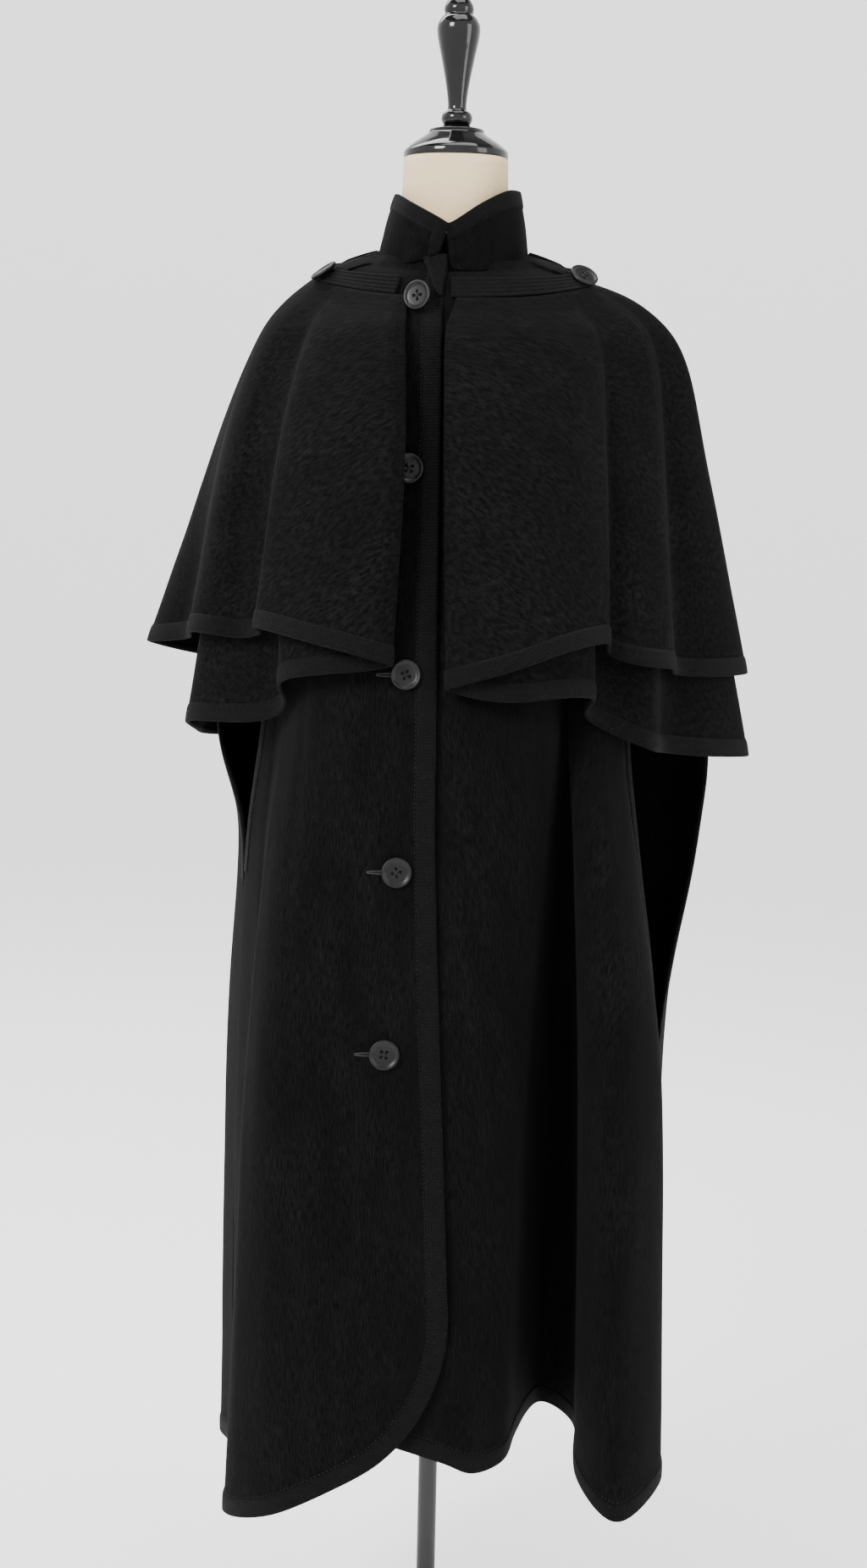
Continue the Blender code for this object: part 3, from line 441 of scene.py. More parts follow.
def creased(grid, creases):
    """Press soft creases into a grid. Each one runs from one place to another, as fractions
    across and down the piece, with its half width and its height (negative presses in)."""
    columns, rows = grid.shape[:2]
    wide = np.linalg.norm(np.diff(grid, axis=0), axis=2).sum(axis=0).max()
    long = np.linalg.norm(np.diff(grid, axis=1), axis=2).sum(axis=1).max()
    across, down = np.meshgrid(np.linspace(0, wide, columns), np.linspace(0, long, rows), indexing="ij")
    height = np.zeros((columns, rows))
    for u1, v1, u2, v2, half_width, rise in creases:
        start = np.array((u1 * wide, v1 * long))
        line = np.array((u2 * wide, v2 * long)) - start
        t = ((across - start[0]) * line[0] + (down - start[1]) * line[1]) / (line @ line)
        t = t.clip(0, 1)
        away = np.hypot(across - start[0] - t * line[0], down - start[1] - t * line[1])
        height += rise * np.exp(-(away / half_width) ** 2) * (0.35 + 0.65 * np.sin(math.pi * t))
    return grid + normals_of(grid) * height[..., None]


def band_ring(angle, edge):
    """A point of the neckband's edge: 0 is its upper edge, 1 the lower, where the cape hangs."""
    turn = np.radians(angle)
    side = np.sin(turn) ** 2
    half_width = 123 + 14 * edge
    half_depth = 77 + 11 * edge
    rise = (1 - edge) * (20 - 8 * side)
    height = 1398 + 30 * np.sin(turn / 2) ** 2 + 8 * side + rise
    return np.stack([-half_width * np.sin(turn), -half_depth * np.cos(turn), height], axis=-1)


def rolled(grid, radius, turn=2.5, steps=6):
    """The grid with both side edges rolled inwards in a soft turn, as a folded front edge is."""
    ends = []
    for edge, inner in ((0, 3), (-1, -4)):
        inward = -normals_of(grid)[inner]
        way = unit(grid[edge] - grid[inner])
        inward = unit(inward - way * np.sum(inward * way, axis=1, keepdims=True))
        angles = np.linspace(0, turn, steps + 1)[1:]
        ends.append([grid[edge] + radius * (math.sin(a) * way + (1 - math.cos(a)) * inward) for a in angles])
    return np.concatenate((np.array(ends[0][::-1]), grid, np.array(ends[1])))


@lru_cache(maxsize=None)
def cape_layers():
    """The outside of both tiers. The lower one is the upper one moved in, with its own hem."""
    ribs = []
    for angle, lift, x1, y1, x2, y2, x3, y3, z3, *_ in CAPE_RIBS:
        ring = band_ring(angle, 1.0)
        yoke = (ring + (x1, y1, CHEST)) / 2 + (0, 0, lift)
        ribs.append((ring, yoke, (x1, y1, CHEST), (x2, y2, MID), (x3, y3, z3)))
    cloth = Cloth(ribs)
    p = np.linspace(0, len(CAPE_RIBS) - 1, CAPE_STEPS * (len(CAPE_RIBS) - 1) + 1)[:, None]
    q = np.linspace(SEAM / 300, 1, CAPE_ROWS)[None, :]
    upper = cloth.at(p, q)
    hem = weights(len(CAPE_RIBS), p.ravel()) @ np.array([row[9:12] for row in CAPE_RIBS], float)
    inward = -normals_of(upper)
    for edge, inner in ((0, CAPE_STEPS), (-1, -1 - CAPE_STEPS)):
        inward[edge] = inward[inner]
    for _ in range(2 * CAPE_STEPS):
        inward[1:-1] = unit(inward[:-2] + 2 * inward[1:-1] + inward[2:])
    run = np.linspace(0, 1, CAPE_ROWS)[None, :, None]
    depth = CAPE_GAP * (0.55 + 0.45 * np.minimum(run / 0.4, 1))
    lower = upper + inward * depth
    grow = np.clip((run - 0.35) / 0.65, 0, 1) ** 1.6
    lower = lower + grow * (hem[:, None, :] - lower[:, -1:, :])
    upper, lower = softened(upper, 12, 9), softened(lower, 12, 9)
    upper = creased(uneven(upper, 1.5, 95.0, 3.0), UPPER_CAPE_CREASES)
    lower = creased(uneven(lower, 1.5, 90.0, 8.0), LOWER_CAPE_CREASES)
    return upper, eased(kept_inside(lower, [upper], TIER_GAP, rounds=2), lower, rounds=2)


def band_grid(start, end):
    """A stretch of the neckband, with its ribs running along it."""
    angles = np.linspace(start, end, max(8, int(abs(end - start) * 0.9)))
    edges = np.linspace(0.0, 0.985, 41)
    grid = band_ring(angles[:, None], edges[None, :])
    ribs = np.abs(np.sin(edges * BAND_RIBS * math.pi)) ** 0.6
    return grid + normals_of(grid) * (0.75 * ribs[None, :, None])


def neckline(angle, lift=0.0, out=0.0):
    """A point on the seam between the collar and the coat, 0 at the front, 90 towards -X."""
    turn = np.radians(angle)
    height = 1424 + 32 * np.sin(turn / 2) ** 2 + 5 * np.sin(turn) ** 2 + lift
    across = np.cos(turn)
    return np.array((-(73 + out) * np.sin(turn), -across * (62 + out + 5 * across), height))


def shoulder_point(run):
    """A point on a shoulder seam: negative runs are on the +X side, 1 is the shoulder tip."""
    side, angle = ("left", 90) if run > 0 else ("right", 270)
    run = abs(run)
    start = neckline(angle, -2.0, 1.0)
    return start + (np.array(SHOULDER_TIPS[side]) - start) * run + (0, 0, 12 * run * (1 - run))


def body_cloth(rows, before=None, after=None):
    """A panel's surface; `before` and `after` are the neighbour ribs that the seams run on into."""
    def rib(row):
        """The points down one row of a table."""
        angle, seam = row[:2]
        if seam:
            towards = math.copysign(YOKE_DROP[0], row[3])
            points = [shoulder_point(seam), shoulder_point(seam) + (0, towards * 0.4, -YOKE_DROP[1] * 0.2),
                      shoulder_point(seam) + (0, towards, -YOKE_DROP[1])]
        else:
            tuck = LAP_TUCK if angle > 335 else 0.0
            under_band = band_ring(angle, 1.0) * (0.93, 0.93, 1) + (0, tuck, -8.5)
            front = math.exp(-((angle + 180) % 360 - 180) ** 2 / 45.0 ** 2)
            rise = 7.0 + 8.0 * front + (22.0 if tuck else 0.0)
            points = [neckline(angle, rise, -2.5 - tuck), neckline(angle, -2.0, 1.0 - tuck), under_band]
        for k, height in enumerate(BODY_HEIGHTS):
            points.append((row[2 + 2 * k], row[3 + 2 * k], height))
        points.append(row[10:13])
        return points
    return Cloth([rib(row) for row in (*(before or ()), *rows, *(after or ()))])


def row_places(rows):
    """Where a panel's rows lie, closer together over the shoulders."""
    return np.linspace(0, 1, rows) ** 1.1


def panel_grid(cloth, start, end, rows):
    """A panel between two ribs, drawn back from the seams there by half a seam."""
    columns = BODY_STEPS * (end - start) + 1
    p = np.linspace(start, end, columns)[:, None] * np.ones((1, rows))
    q = np.ones((columns, 1)) * row_places(rows)[None, :]
    for edge, sign in ((0, 1), (-1, -1)):
        gap = np.linalg.norm(cloth.at(p[edge] + 0.05 * sign, q[edge]) - cloth.at(p[edge], q[edge]), axis=1) / 0.05
        p[edge] += sign * SEAM / np.maximum(gap, 5.0)
    return cloth.at(p, q)


def corner_height(across):
    """Height above the hem line at which a column stops in the rounded front corner."""
    turn = np.clip(1 - across / CORNER_ALONG_HEM, 0, 1)
    return CORNER_UP_EDGE * (1 - np.sqrt(1 - turn ** 2))


def right_front_grid(cloth, rows):
    """The right front, whose first columns stop on the arc of its rounded lower corner."""
    columns = []
    trial = np.linspace(0, 1, 40)
    for distance in CORNER_ALONG_HEM * (1 - np.cos(np.linspace(0, math.pi / 2, ARC_COLUMNS))):
        ribs = cloth.reach(trial, distance)
        length = cloth.length(ribs[-1:])[0]
        q = row_places(rows) * (1 - corner_height(distance) / length)
        columns.append(cloth.at(np.interp(q, trial, ribs), q))
    after_arc = cloth.reach(row_places(rows), CORNER_ALONG_HEM)
    seam_rib = len(RIGHT_FRONT_RIBS) - 1
    others = BODY_STEPS * (seam_rib - 1)
    for k in range(1, others + 1):
        columns.append(cloth.at(after_arc + (seam_rib - after_arc) * k / others, row_places(rows)))
    return np.array(columns)


def raised_yoke(grid):
    """Lift the cloth between the collar and the neckband, so that the band lies on it."""
    grid = grid.copy()
    for index in np.ndindex(*grid.shape[:2]):
        x, y, z = grid[index]
        if z < 1385:
            continue
        angle = math.degrees(math.atan2(-x / 123, -y / 77))
        ring, neck = band_ring(angle, 0.0), neckline(angle, 0.0, 1.0)
        crest = math.hypot(ring[0], ring[1]) - YOKE_INSET
        start, here = math.hypot(neck[0], neck[1]), math.hypot(x, y)
        t = (here - start) / (crest - start)
        level = neck[2] + (ring[2] - 0.8 - neck[2]) * min(max(t, 0.0), 1.0) - max(0.0, here - crest) * YOKE_FALL
        level += YOKE_BULGE * math.sin(math.pi * min(max(t, 0.0), 1.0))
        grid[index][2] = max(z, level)
    return grid


@lru_cache(maxsize=None)
def body_layers():
    """The outside of the three coat panels, each clear of the layers over and under it."""
    lower_cape = cape_layers()[1]
    bands = [band_grid(*span) for span in BAND_SPANS.values()]
    form = tree_of(form_grid())
    panels = {
        "right_front": right_front_grid(body_cloth(RIGHT_FRONT_RIBS, after=BACK_RIBS[1:2]), BODY_ROWS),
        "back": panel_grid(body_cloth(BACK_RIBS, RIGHT_FRONT_RIBS[-2:-1], LEFT_FRONT_RIBS[1:2]),
                           1, len(BACK_RIBS), BODY_ROWS),
        "left_front": panel_grid(body_cloth(LEFT_FRONT_RIBS, before=BACK_RIBS[-2:-1]),
                                 1, len(LEFT_FRONT_RIBS), BODY_ROWS)}
    for seed, (name, drawn) in enumerate(panels.items()):
        grid = kept_inside(drawn, [lower_cape], LAYER_GAP, rounds=2)
        grid = kept_inside(grid, bands, 3.2, rounds=1)
        if name == "left_front":
            grid = kept_inside(grid, [panels["right_front"]], LAP_GAP, rounds=1)
        grid = raised_yoke(softened(eased(kept_outside(grid, form, FORM_GAP), drawn), 10, 6))
        panels[name] = creased(uneven(grid, 0.9, 110.0, 5.0 * seed), BODY_CREASES[name])
    return panels


@lru_cache(maxsize=None)
def collar_layer():
    """The outside of the stand collar."""
    ribs = [(neckline(angle, lift - 0.6, out), top) for angle, lift, out, *top in COLLAR_RIBS]
    cloth = Cloth([(top, (np.array(top) + base) / 2 + COLLAR_BOW * unit(np.array((base[0], base[1], 0.0))), base)
                   for base, top in ribs])
    grid = cloth.at(np.linspace(0, len(ribs) - 1, 10 * len(ribs))[:, None], np.linspace(0, 1, 36)[None, :])
    return creased(uneven(grid, 0.5, 60.0, 2.0), COLLAR_CREASES)


def form_ring(half_width, half_depth, middle, segments):
    """One section of the form, a little squarer than an ellipse."""
    angles = -np.linspace(0, 2 * math.pi, segments + 1) + math.pi
    power = 0.86
    x = -half_width * np.sign(np.sin(angles)) * np.abs(np.sin(angles)) ** power
    y = middle + half_depth * np.sign(np.cos(angles)) * np.abs(np.cos(angles)) ** power
    return np.stack([x, y], axis=1)


@lru_cache(maxsize=None)
def form_grid(segments=96, rows=90):
    """The form's skin, from the top of the neck down, clockwise from the front."""
    sections = np.array(FORM_SECTIONS[::-1], float)
    places = np.linspace(0, len(sections) - 1, rows)
    smooth = np.stack([np.interp(places, np.arange(len(sections)), sections[:, k]) for k in range(4)], axis=1)
    smooth[1:-1] = (smooth[:-2] + 2 * smooth[1:-1] + smooth[2:]) / 4
    grid = []
    for height, half_width, half_depth, middle in smooth:
        ring = form_ring(half_width, half_depth, middle, segments)
        grid.append(np.column_stack([ring, np.full(len(ring), height)]))
    return np.array(grid).transpose(1, 0, 2)


# ================================================================ Blender helpers
def along_rows(lines, distances):
    """Points found by going each of `distances` along every line of an array of lines."""
    out = []
    for line in lines:
        run = run_along(line)
        out.append(places_on(line, run, distances))
    return np.array(out)


def runs_of(grid, axis):
    """Length run along one direction of a grid, at every point."""
    step = np.linalg.norm(np.diff(grid, axis=axis), axis=2)
    return np.concatenate((np.zeros_like(step.take([0], axis=axis)), np.cumsum(step, axis=axis)), axis=axis)


def laid_mesh(name, grid, finish):
    """A grid of cloth laid on the points, with a UV map in metres along and down the piece."""
    columns, rows = grid.shape[:2]
    across, down = runs_of(grid, 0) * MM, runs_of(grid, 1) * MM
    across -= across[columns // 2][None, :]
    mesh = bpy.data.meshes.new(name)
    bm = bmesh.new()
    weave = bm.loops.layers.uv.new("weave")
    bmesh.ops.create_grid(bm, x_segments=columns - 1, y_segments=rows - 1, size=1.0)
    bm.verts.index_update()
    place = {}
    for vertex in bm.verts:
        i = round((vertex.co.x + 1) / 2 * (columns - 1))
        j = round((vertex.co.y + 1) / 2 * (rows - 1))
        place[vertex.index] = (i, j)
        vertex.co = grid[i, j] * MM
    for face in bm.faces:
        for loop in face.loops:
            i, j = place[loop.vert.index]
            loop[weave].uv = (across[i, j], -down[i, j])
    bm.to_mesh(mesh)
    bm.free()
    mesh.materials.append(finish)
    mesh.shade_smooth()
    made = bpy.data.objects.new(name, mesh)
    bpy.context.scene.collection.objects.link(made)
    return made


def settle(made, slot, *nodes):
    """Ride on the one body and stand for the solids named; the slot is not used."""
    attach(made, "root")
    if nodes:
        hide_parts(*nodes)
    return made


def cut_of(grid):
    """Width, length and area in metres of the flat cloth that a grid was cut from."""
    width, length = runs_of(grid, 0)[-1].max() * MM, runs_of(grid, 1)[:, -1].max() * MM
    sides = np.cross(grid[1:, :-1] - grid[:-1, :-1], grid[:-1, 1:] - grid[:-1, :-1])
    area = np.linalg.norm(sides, axis=2).sum() * MM * MM
    return max(width, 1.001 * area / length, 0.011), max(length, 0.011), area


def cloth_piece(name, grid, wall, finish, slot, node):
    """A cloth piece with its wall; the size of the flat sheet that it was cut from is worked out but not used."""
    made = laid_mesh(name, grid, finish)
    thicken = made.modifiers.new("wall", "SOLIDIFY")
    thicken.thickness = wall
    thicken.offset = -1.0
    thicken.use_quality_normals = True
    settle(made, slot, *([node] if node else []))
    width, length, area = cut_of(grid)
    area = min(max(area, 0.301 * width * length), width * length)
    return made


def bound_edge(name, lines, panel, wall, finish, node, lift=0.9):
    """Braid folded over a cut edge. The lines run from the braid's inner edge to the cut edge, each
    a row of points on the panel; the braid goes over the edge and a little way up inside."""
    tree = tree_of(panel)
    strip = np.stack(lines, axis=1)
    normals = np.zeros_like(strip)
    for index in np.ndindex(strip.shape[:2]):
        near, normal, _, _ = tree.find_nearest(Vector(strip[index]), 60.0)
        strip[index], normals[index] = near, normal
    for _ in range(3):
        normals[1:-1] = unit(normals[:-2] + 2 * normals[1:-1] + normals[2:])
    count = strip.shape[1]
    crown = lift + 0.35 * np.sin(np.linspace(0, math.pi, count))
    crown[0] = 0.35
    rows = [strip[:, j] + normals[:, j] * crown[j] for j in range(count)]
    edge, normal = strip[:, -1], normals[:, -1]
    out = unit(edge - strip[:, -2])
    for _ in range(3):
        out[1:-1] = unit(out[:-2] + 2 * out[1:-1] + out[2:])
    for beyond, height in ((0.9, 0.5), (1.3, -wall / 2), (0.9, -wall - 0.5), (-0.6, -wall - 0.9), (-5.0, -wall - 0.9)):
        rows.append(edge + out * beyond + normal * height)
    grid = np.stack(rows, axis=1)
    if np.einsum("ijk,ijk->", normals_of(grid)[:, :count], normals) < 0:
        grid = grid[::-1]
    return cloth_piece(name, grid, 0.0007, finish, "black braid", node)


def hem_lines(grid, width, count=7):
    """Lines across the last `width` of each column of a grid."""
    points = along_rows(grid[:, ::-1], np.linspace(width, 0, count))
    return [points[:, k] for k in range(count)]


def side_lines(grid, last, width, count=7):
    """Lines beside the first or last column of a grid."""
    rows = grid.transpose(1, 0, 2)
    points = along_rows(rows[:, ::-1] if last else rows, np.linspace(width, 0, count))
    return [points[:, k] for k in range(count)]


def front_lines(grid, width, count=7):
    """Lines down the front edge, round the rounded corner and along the hem."""
    edge = np.concatenate((grid[0], grid[1:, -1]))
    normals = normals_of(grid)
    facing = np.concatenate((normals[0], normals[1:, -1]))
    into = np.concatenate((grid[6] - grid[0], (grid[:, -4] - grid[:, -1])[1:]))
    tangents = np.gradient(edge, axis=0)
    inward = unit(np.cross(tangents, facing))
    inward *= np.sign(np.sum(inward * into, axis=1, keepdims=True))
    for _ in range(6):
        inward[1:-1] = unit(inward[:-2] + 2 * inward[1:-1] + inward[2:])
    return [edge + inward * way for way in np.linspace(width, 0, count)]


def stitch_row(name, line, tree, finish, pitch=4.2, length=2.6, thick=0.32):
    """A row of single stitches sunk a little into the cloth along a line."""
    run = run_along(line)
    places = np.arange(pitch, run[-1] - pitch, pitch)
    points, ahead = places_on(line, run, places), places_on(line, run, places + 1.0)
    mesh = bpy.data.meshes.new(name)
    bm = bmesh.new()
    for point, following in zip(points, ahead):
        near, normal, _, _ = tree.find_nearest(Vector(point), 60.0)
        way = (Vector(following) - Vector(point)).normalized()
        normal = (normal - way * normal.dot(way)).normalized()
        side = normal.cross(way)
        turn = Matrix((way * length / 2, side * thick, normal * thick)).transposed().to_4x4()
        turn.translation = near + normal * 0.12
        bmesh.ops.create_icosphere(bm, subdivisions=1, radius=1.0, matrix=Matrix.Scale(MM, 4) @ turn)
    bm.to_mesh(mesh)
    bm.free()
    mesh.materials.append(finish)
    made = bpy.data.objects.new(name, mesh)
    bpy.context.scene.collection.objects.link(made)
    return settle(made, "black braid")


def turned(name, profile, finish, segments=72):
    """A turned piece from a profile of (height, radius) rows, from the bottom up."""
    mesh = bpy.data.meshes.new(name)
    bm = bmesh.new()
    points = [bm.verts.new((radius * MM, 0, height * MM)) for height, radius in profile]
    edges = [bm.edges.new(pair) for pair in zip(points, points[1:])]
    bmesh.ops.spin(bm, geom=points + edges, cent=(0, 0, 0), axis=(0, 0, 1), angle=2 * math.pi,
                   steps=segments, use_merge=True)
    bmesh.ops.remove_doubles(bm, verts=bm.verts, dist=1e-6)
    bmesh.ops.recalc_face_normals(bm, faces=bm.faces)
    bm.to_mesh(mesh)
    bm.free()
    mesh.materials.append(finish)
    mesh.shade_smooth()
    made = bpy.data.objects.new(name, mesh)
    bpy.context.scene.collection.objects.link(made)
    return made


def smooth_profile(profile, steps=5):
    """Round a profile between its rows, and close it on the axis at both ends."""
    rows = np.array(profile, float)
    fine = weights(len(rows), np.linspace(0, len(rows) - 1, steps * (len(rows) - 1) + 1)) @ rows
    return [(fine[0][0], 0.0), *map(tuple, fine), (fine[-1][0], 0.0)]


# ================================================================ finishes
class Nodes:
    """A material's node tree, with short calls for its nodes and links."""

    def __init__(self, name):
        self.made = bpy.data.materials.new(name)
        self.made.use_nodes = True
        self.tree = self.made.node_tree
        self.shader = self.tree.nodes["Principled BSDF"]

    def add(self, kind, links):
        """A node with its sockets linked."""
        node = self.tree.nodes.new("ShaderNode" + kind)
        for socket, source in links.items():
            self.link(source, node.inputs[socket])
        return node

    def link(self, source, socket):
        """Join a node's output to a socket."""
        self.tree.links.new(source, socket)

    def math(self, operation, *values):
        """The result of a Math node on values or sockets."""
        node = self.tree.nodes.new("ShaderNodeMath")
        node.operation = operation
        for socket, value in zip(node.inputs, values):
            if isinstance(value, (int, float)):
                socket.default_value = value
            else:
                self.link(value, socket)
        return node.outputs[0]

    def place(self, source, scale):
        """Coordinates from the UV map or the object, scaled."""
        coordinates = self.tree.nodes.new("ShaderNodeTexCoord")
        mapping = self.tree.nodes.new("ShaderNodeMapping")
        mapping.inputs["Scale"].default_value = scale
        self.link(coordinates.outputs[source], mapping.inputs["Vector"])
        return mapping.outputs["Vector"]

    def noise(self, source, scale, detail=4.0, roughness=0.6):
        """Noise on the UV map or the object."""
        node = self.tree.nodes.new("ShaderNodeTexNoise")
        node.inputs["Scale"].default_value = 1.0
        node.inputs["Detail"].default_value = detail
        node.inputs["Roughness"].default_value = roughness
        self.link(self.place(source, scale), node.inputs["Vector"])
        return node.outputs["Fac"]

    def ramp(self, factor, *stops):
        """A colour ramp through (position, colour) stops."""
        node = self.tree.nodes.new("ShaderNodeValToRGB")
        for element, (position, colour) in zip(node.color_ramp.elements, (stops[0], stops[-1])):
            element.position, element.color = position, (*colour, 1.0)
        for position, colour in stops[1:-1]:
            node.color_ramp.elements.new(position).color = (*colour, 1.0)
        self.link(factor, node.inputs["Fac"])
        return node.outputs["Color"]

    def mix(self, factor, first, second):
        """Two colours mixed by a factor."""
        node = self.tree.nodes.new("ShaderNodeMix")
        node.data_type = "RGBA"
        for socket, value in (("Factor", factor), ("A", first), ("B", second)):
            target = [s for s in node.inputs if s.name == socket and (s.type == "RGBA") == (socket != "Factor")][0]
            if isinstance(value, (int, float)):
                target.default_value = value
            elif isinstance(value, tuple):
                target.default_value = (*value, 1.0)
            else:
                self.link(value, target)
        return [s for s in node.outputs if s.type == "RGBA"][0]

    def bump(self, height, strength, distance, before=None):
        """A bumped normal, over an earlier one if there is one."""
        node = self.tree.nodes.new("ShaderNodeBump")
        node.inputs["Strength"].default_value = strength
        node.inputs["Distance"].default_value = distance
        self.link(height, node.inputs["Height"])
        if before is not None:
            self.link(before, node.inputs["Normal"])
        return node.outputs["Normal"]

    def finish(self, colour, normal=None, roughness=0.9, **constants):
        """Set the shader and give the material."""
        if isinstance(colour, tuple):
            self.shader.inputs["Base Color"].default_value = (*colour, 1.0)
        else:
            self.link(colour, self.shader.inputs["Base Color"])
        if isinstance(roughness, float):
            self.shader.inputs["Roughness"].default_value = roughness
        else:
            self.link(roughness, self.shader.inputs["Roughness"])
        if normal is not None:
            self.link(normal, self.shader.inputs["Normal"])
        for name, value in constants.items():
            self.shader.inputs[name.replace("_", " ")].default_value = value
        return self.made


def times(colour, factor):
    """A colour made darker or lighter."""
    return tuple(min(1.0, channel * factor) for channel in colour)


@lru_cache(maxsize=None)
def brushed_wool():
    """Wool brushed downwards: long uneven streaks of nap, with loose hairs and a little lint."""
    colour = tuple(bpy.context.scene.coat_colours.wool)
    n = Nodes("black brushed wool")
    streaks = n.noise("UV", (620.0, 85.0, 1.0), 6.0, 0.65)
    patches = n.noise("UV", (34.0, 9.0, 1.0), 3.0)
    fuzz = n.noise("UV", (1500.0, 700.0, 1.0), 3.0, 0.7)
    brushed = n.ramp(streaks, (0.38, (0.0, 0.0, 0.0)), (0.70, (1.0, 1.0, 1.0)))
    uneven_nap = n.ramp(patches, (0.36, (0.45, 0.45, 0.45)), (0.68, (1.0, 1.0, 1.0)))
    tone = n.mix(n.math("MULTIPLY", brushed, uneven_nap), times(colour, 0.3), times(colour, 3.0))
    lint = n.math("GREATER_THAN", n.noise("UV", (520.0, 300.0, 1.0), 1.0), 0.80)
    tone = n.mix(n.math("MULTIPLY", lint, 0.5), tone, times(colour, 9.0))
    relief = n.bump(fuzz, 0.6, 0.0007, n.bump(streaks, 0.7, 0.0016))
    return n.finish(tone, relief, 0.95, Sheen_Weight=0.012, Sheen_Roughness=0.45, Specular_IOR_Level=0.05,
                    Sheen_Tint=(0.6, 0.6, 0.62, 1.0))


@lru_cache(maxsize=None)
def cape_felt():
    """Milled felt: close, even and soft, with a faint downward nap and stray hairs."""
    colour = tuple(bpy.context.scene.coat_colours.felt)
    n = Nodes("black cape felt")
    nap = n.noise("UV", (230.0, 170.0, 1.0), 5.0, 0.65)
    mottle = n.noise("UV", (22.0, 14.0, 1.0), 3.0)
    fuzz = n.noise("UV", (1300.0, 1000.0, 1.0), 3.0, 0.7)
    milled = n.ramp(nap, (0.40, (0.0, 0.0, 0.0)), (0.68, (1.0, 1.0, 1.0)))
    tone = n.mix(n.math("MULTIPLY", milled, mottle), times(colour, 0.35), times(colour, 3.6))
    lint = n.math("GREATER_THAN", n.noise("UV", (420.0, 330.0, 1.0), 1.0), 0.82)
    tone = n.mix(n.math("MULTIPLY", lint, 0.45), tone, times(colour, 8.0))
    relief = n.bump(fuzz, 0.45, 0.0005, n.bump(nap, 0.25, 0.0009))
    return n.finish(tone, relief, 0.95, Sheen_Weight=0.010, Sheen_Roughness=0.5, Specular_IOR_Level=0.05,
                    Sheen_Tint=(0.6, 0.6, 0.62, 1.0))


@lru_cache(maxsize=None)
def herringbone_braid():
    """Braid woven in small chevrons: slanting ridges that turn back every few millimetres."""
    colour = tuple(bpy.context.scene.coat_colours.braid)
    n = Nodes("black herringbone braid")
    split = n.add("SeparateXYZ", {"Vector": n.place("UV", (1.0, 1.0, 1.0))})
    zigzag = n.math("PINGPONG", split.outputs["Y"], 0.0042)
    ridge = n.math("SINE", n.math("MULTIPLY", n.math("ADD", split.outputs["X"], zigzag), 2 * math.pi / 0.0023))
    height = n.math("MULTIPLY_ADD", ridge, 0.5, 0.5)
    worn = n.noise("UV", (60.0, 60.0, 1.0), 4.0)
    # The colour follows the weave's height: darker in its grooves and lighter on its ridges. This is painted shade and
    # painted highlight on the relief, made patchy by the random worn noise.
    tone = n.mix(n.math("MULTIPLY", height, worn), times(colour, 0.35), times(colour, 2.6))
    fuzz = n.noise("UV", (1700.0, 1700.0, 1.0), 2.0)
    relief = n.bump(fuzz, 0.3, 0.0004, n.bump(height, 0.9, 0.0006))
    return n.finish(tone, relief, 0.88, Sheen_Weight=0.012, Specular_IOR_Level=0.08)


@lru_cache(maxsize=None)
def ribbed_braid():
    """Braid with fine ribs across it and finer rows along it, as on the fronts and the hem."""
    colour = tuple(bpy.context.scene.coat_colours.braid)
    n = Nodes("black ribbed braid")
    split = n.add("SeparateXYZ", {"Vector": n.place("UV", (1.0, 1.0, 1.0))})
    ribs = n.math("SINE", n.math("MULTIPLY", split.outputs["X"], 2 * math.pi / 0.0030))
    rows = n.math("SINE", n.math("MULTIPLY", split.outputs["Y"], 2 * math.pi / 0.0024))
    height = n.math("MULTIPLY_ADD", n.math("ADD", ribs, n.math("MULTIPLY", rows, 0.7)), 0.28, 0.5)
    worn = n.noise("UV", (60.0, 60.0, 1.0), 4.0)
    # The colour follows the ribs' height: darker between the ribs and lighter on their tops. This is painted shade and
    # painted highlight on the relief, made patchy by the random worn noise.
    tone = n.mix(n.math("MULTIPLY", height, worn), times(colour, 0.35), times(colour, 2.4))
    fuzz = n.noise("UV", (1700.0, 1700.0, 1.0), 2.0)
    relief = n.bump(fuzz, 0.3, 0.0004, n.bump(height, 0.85, 0.0006))
    return n.finish(tone, relief, 0.88, Sheen_Weight=0.012, Specular_IOR_Level=0.08)


@lru_cache(maxsize=None)
def thread():
    """Twisted black sewing thread."""
    colour = tuple(bpy.context.scene.coat_colours.braid)
    n = Nodes("black sewing thread")
    twist = n.noise("Object", (2500.0, 2500.0, 900.0), 2.0)
    tone = n.mix(twist, times(colour, 0.4), times(colour, 1.6))
    return n.finish(tone, n.bump(twist, 0.4, 0.0002), 0.6, Specular_IOR_Level=0.35)


@lru_cache(maxsize=None)
def horn():
    """Dark satin buttons, faintly clouded, with fine turning marks and rubbed rims."""
    colour = tuple(bpy.context.scene.coat_colours.button)
    n = Nodes("black button")
    cloud = n.noise("Object", (120.0, 120.0, 120.0), 4.0)
    scuffs = n.noise("Object", (900.0, 900.0, 260.0), 3.0, 0.7)
    tone = n.mix(cloud, times(colour, 0.6), times(colour, 1.7))
    roughness = n.math("MULTIPLY_ADD", scuffs, 0.22, 0.26)
    return n.finish(tone, n.bump(scuffs, 0.12, 0.0002), roughness, Specular_IOR_Level=0.2)


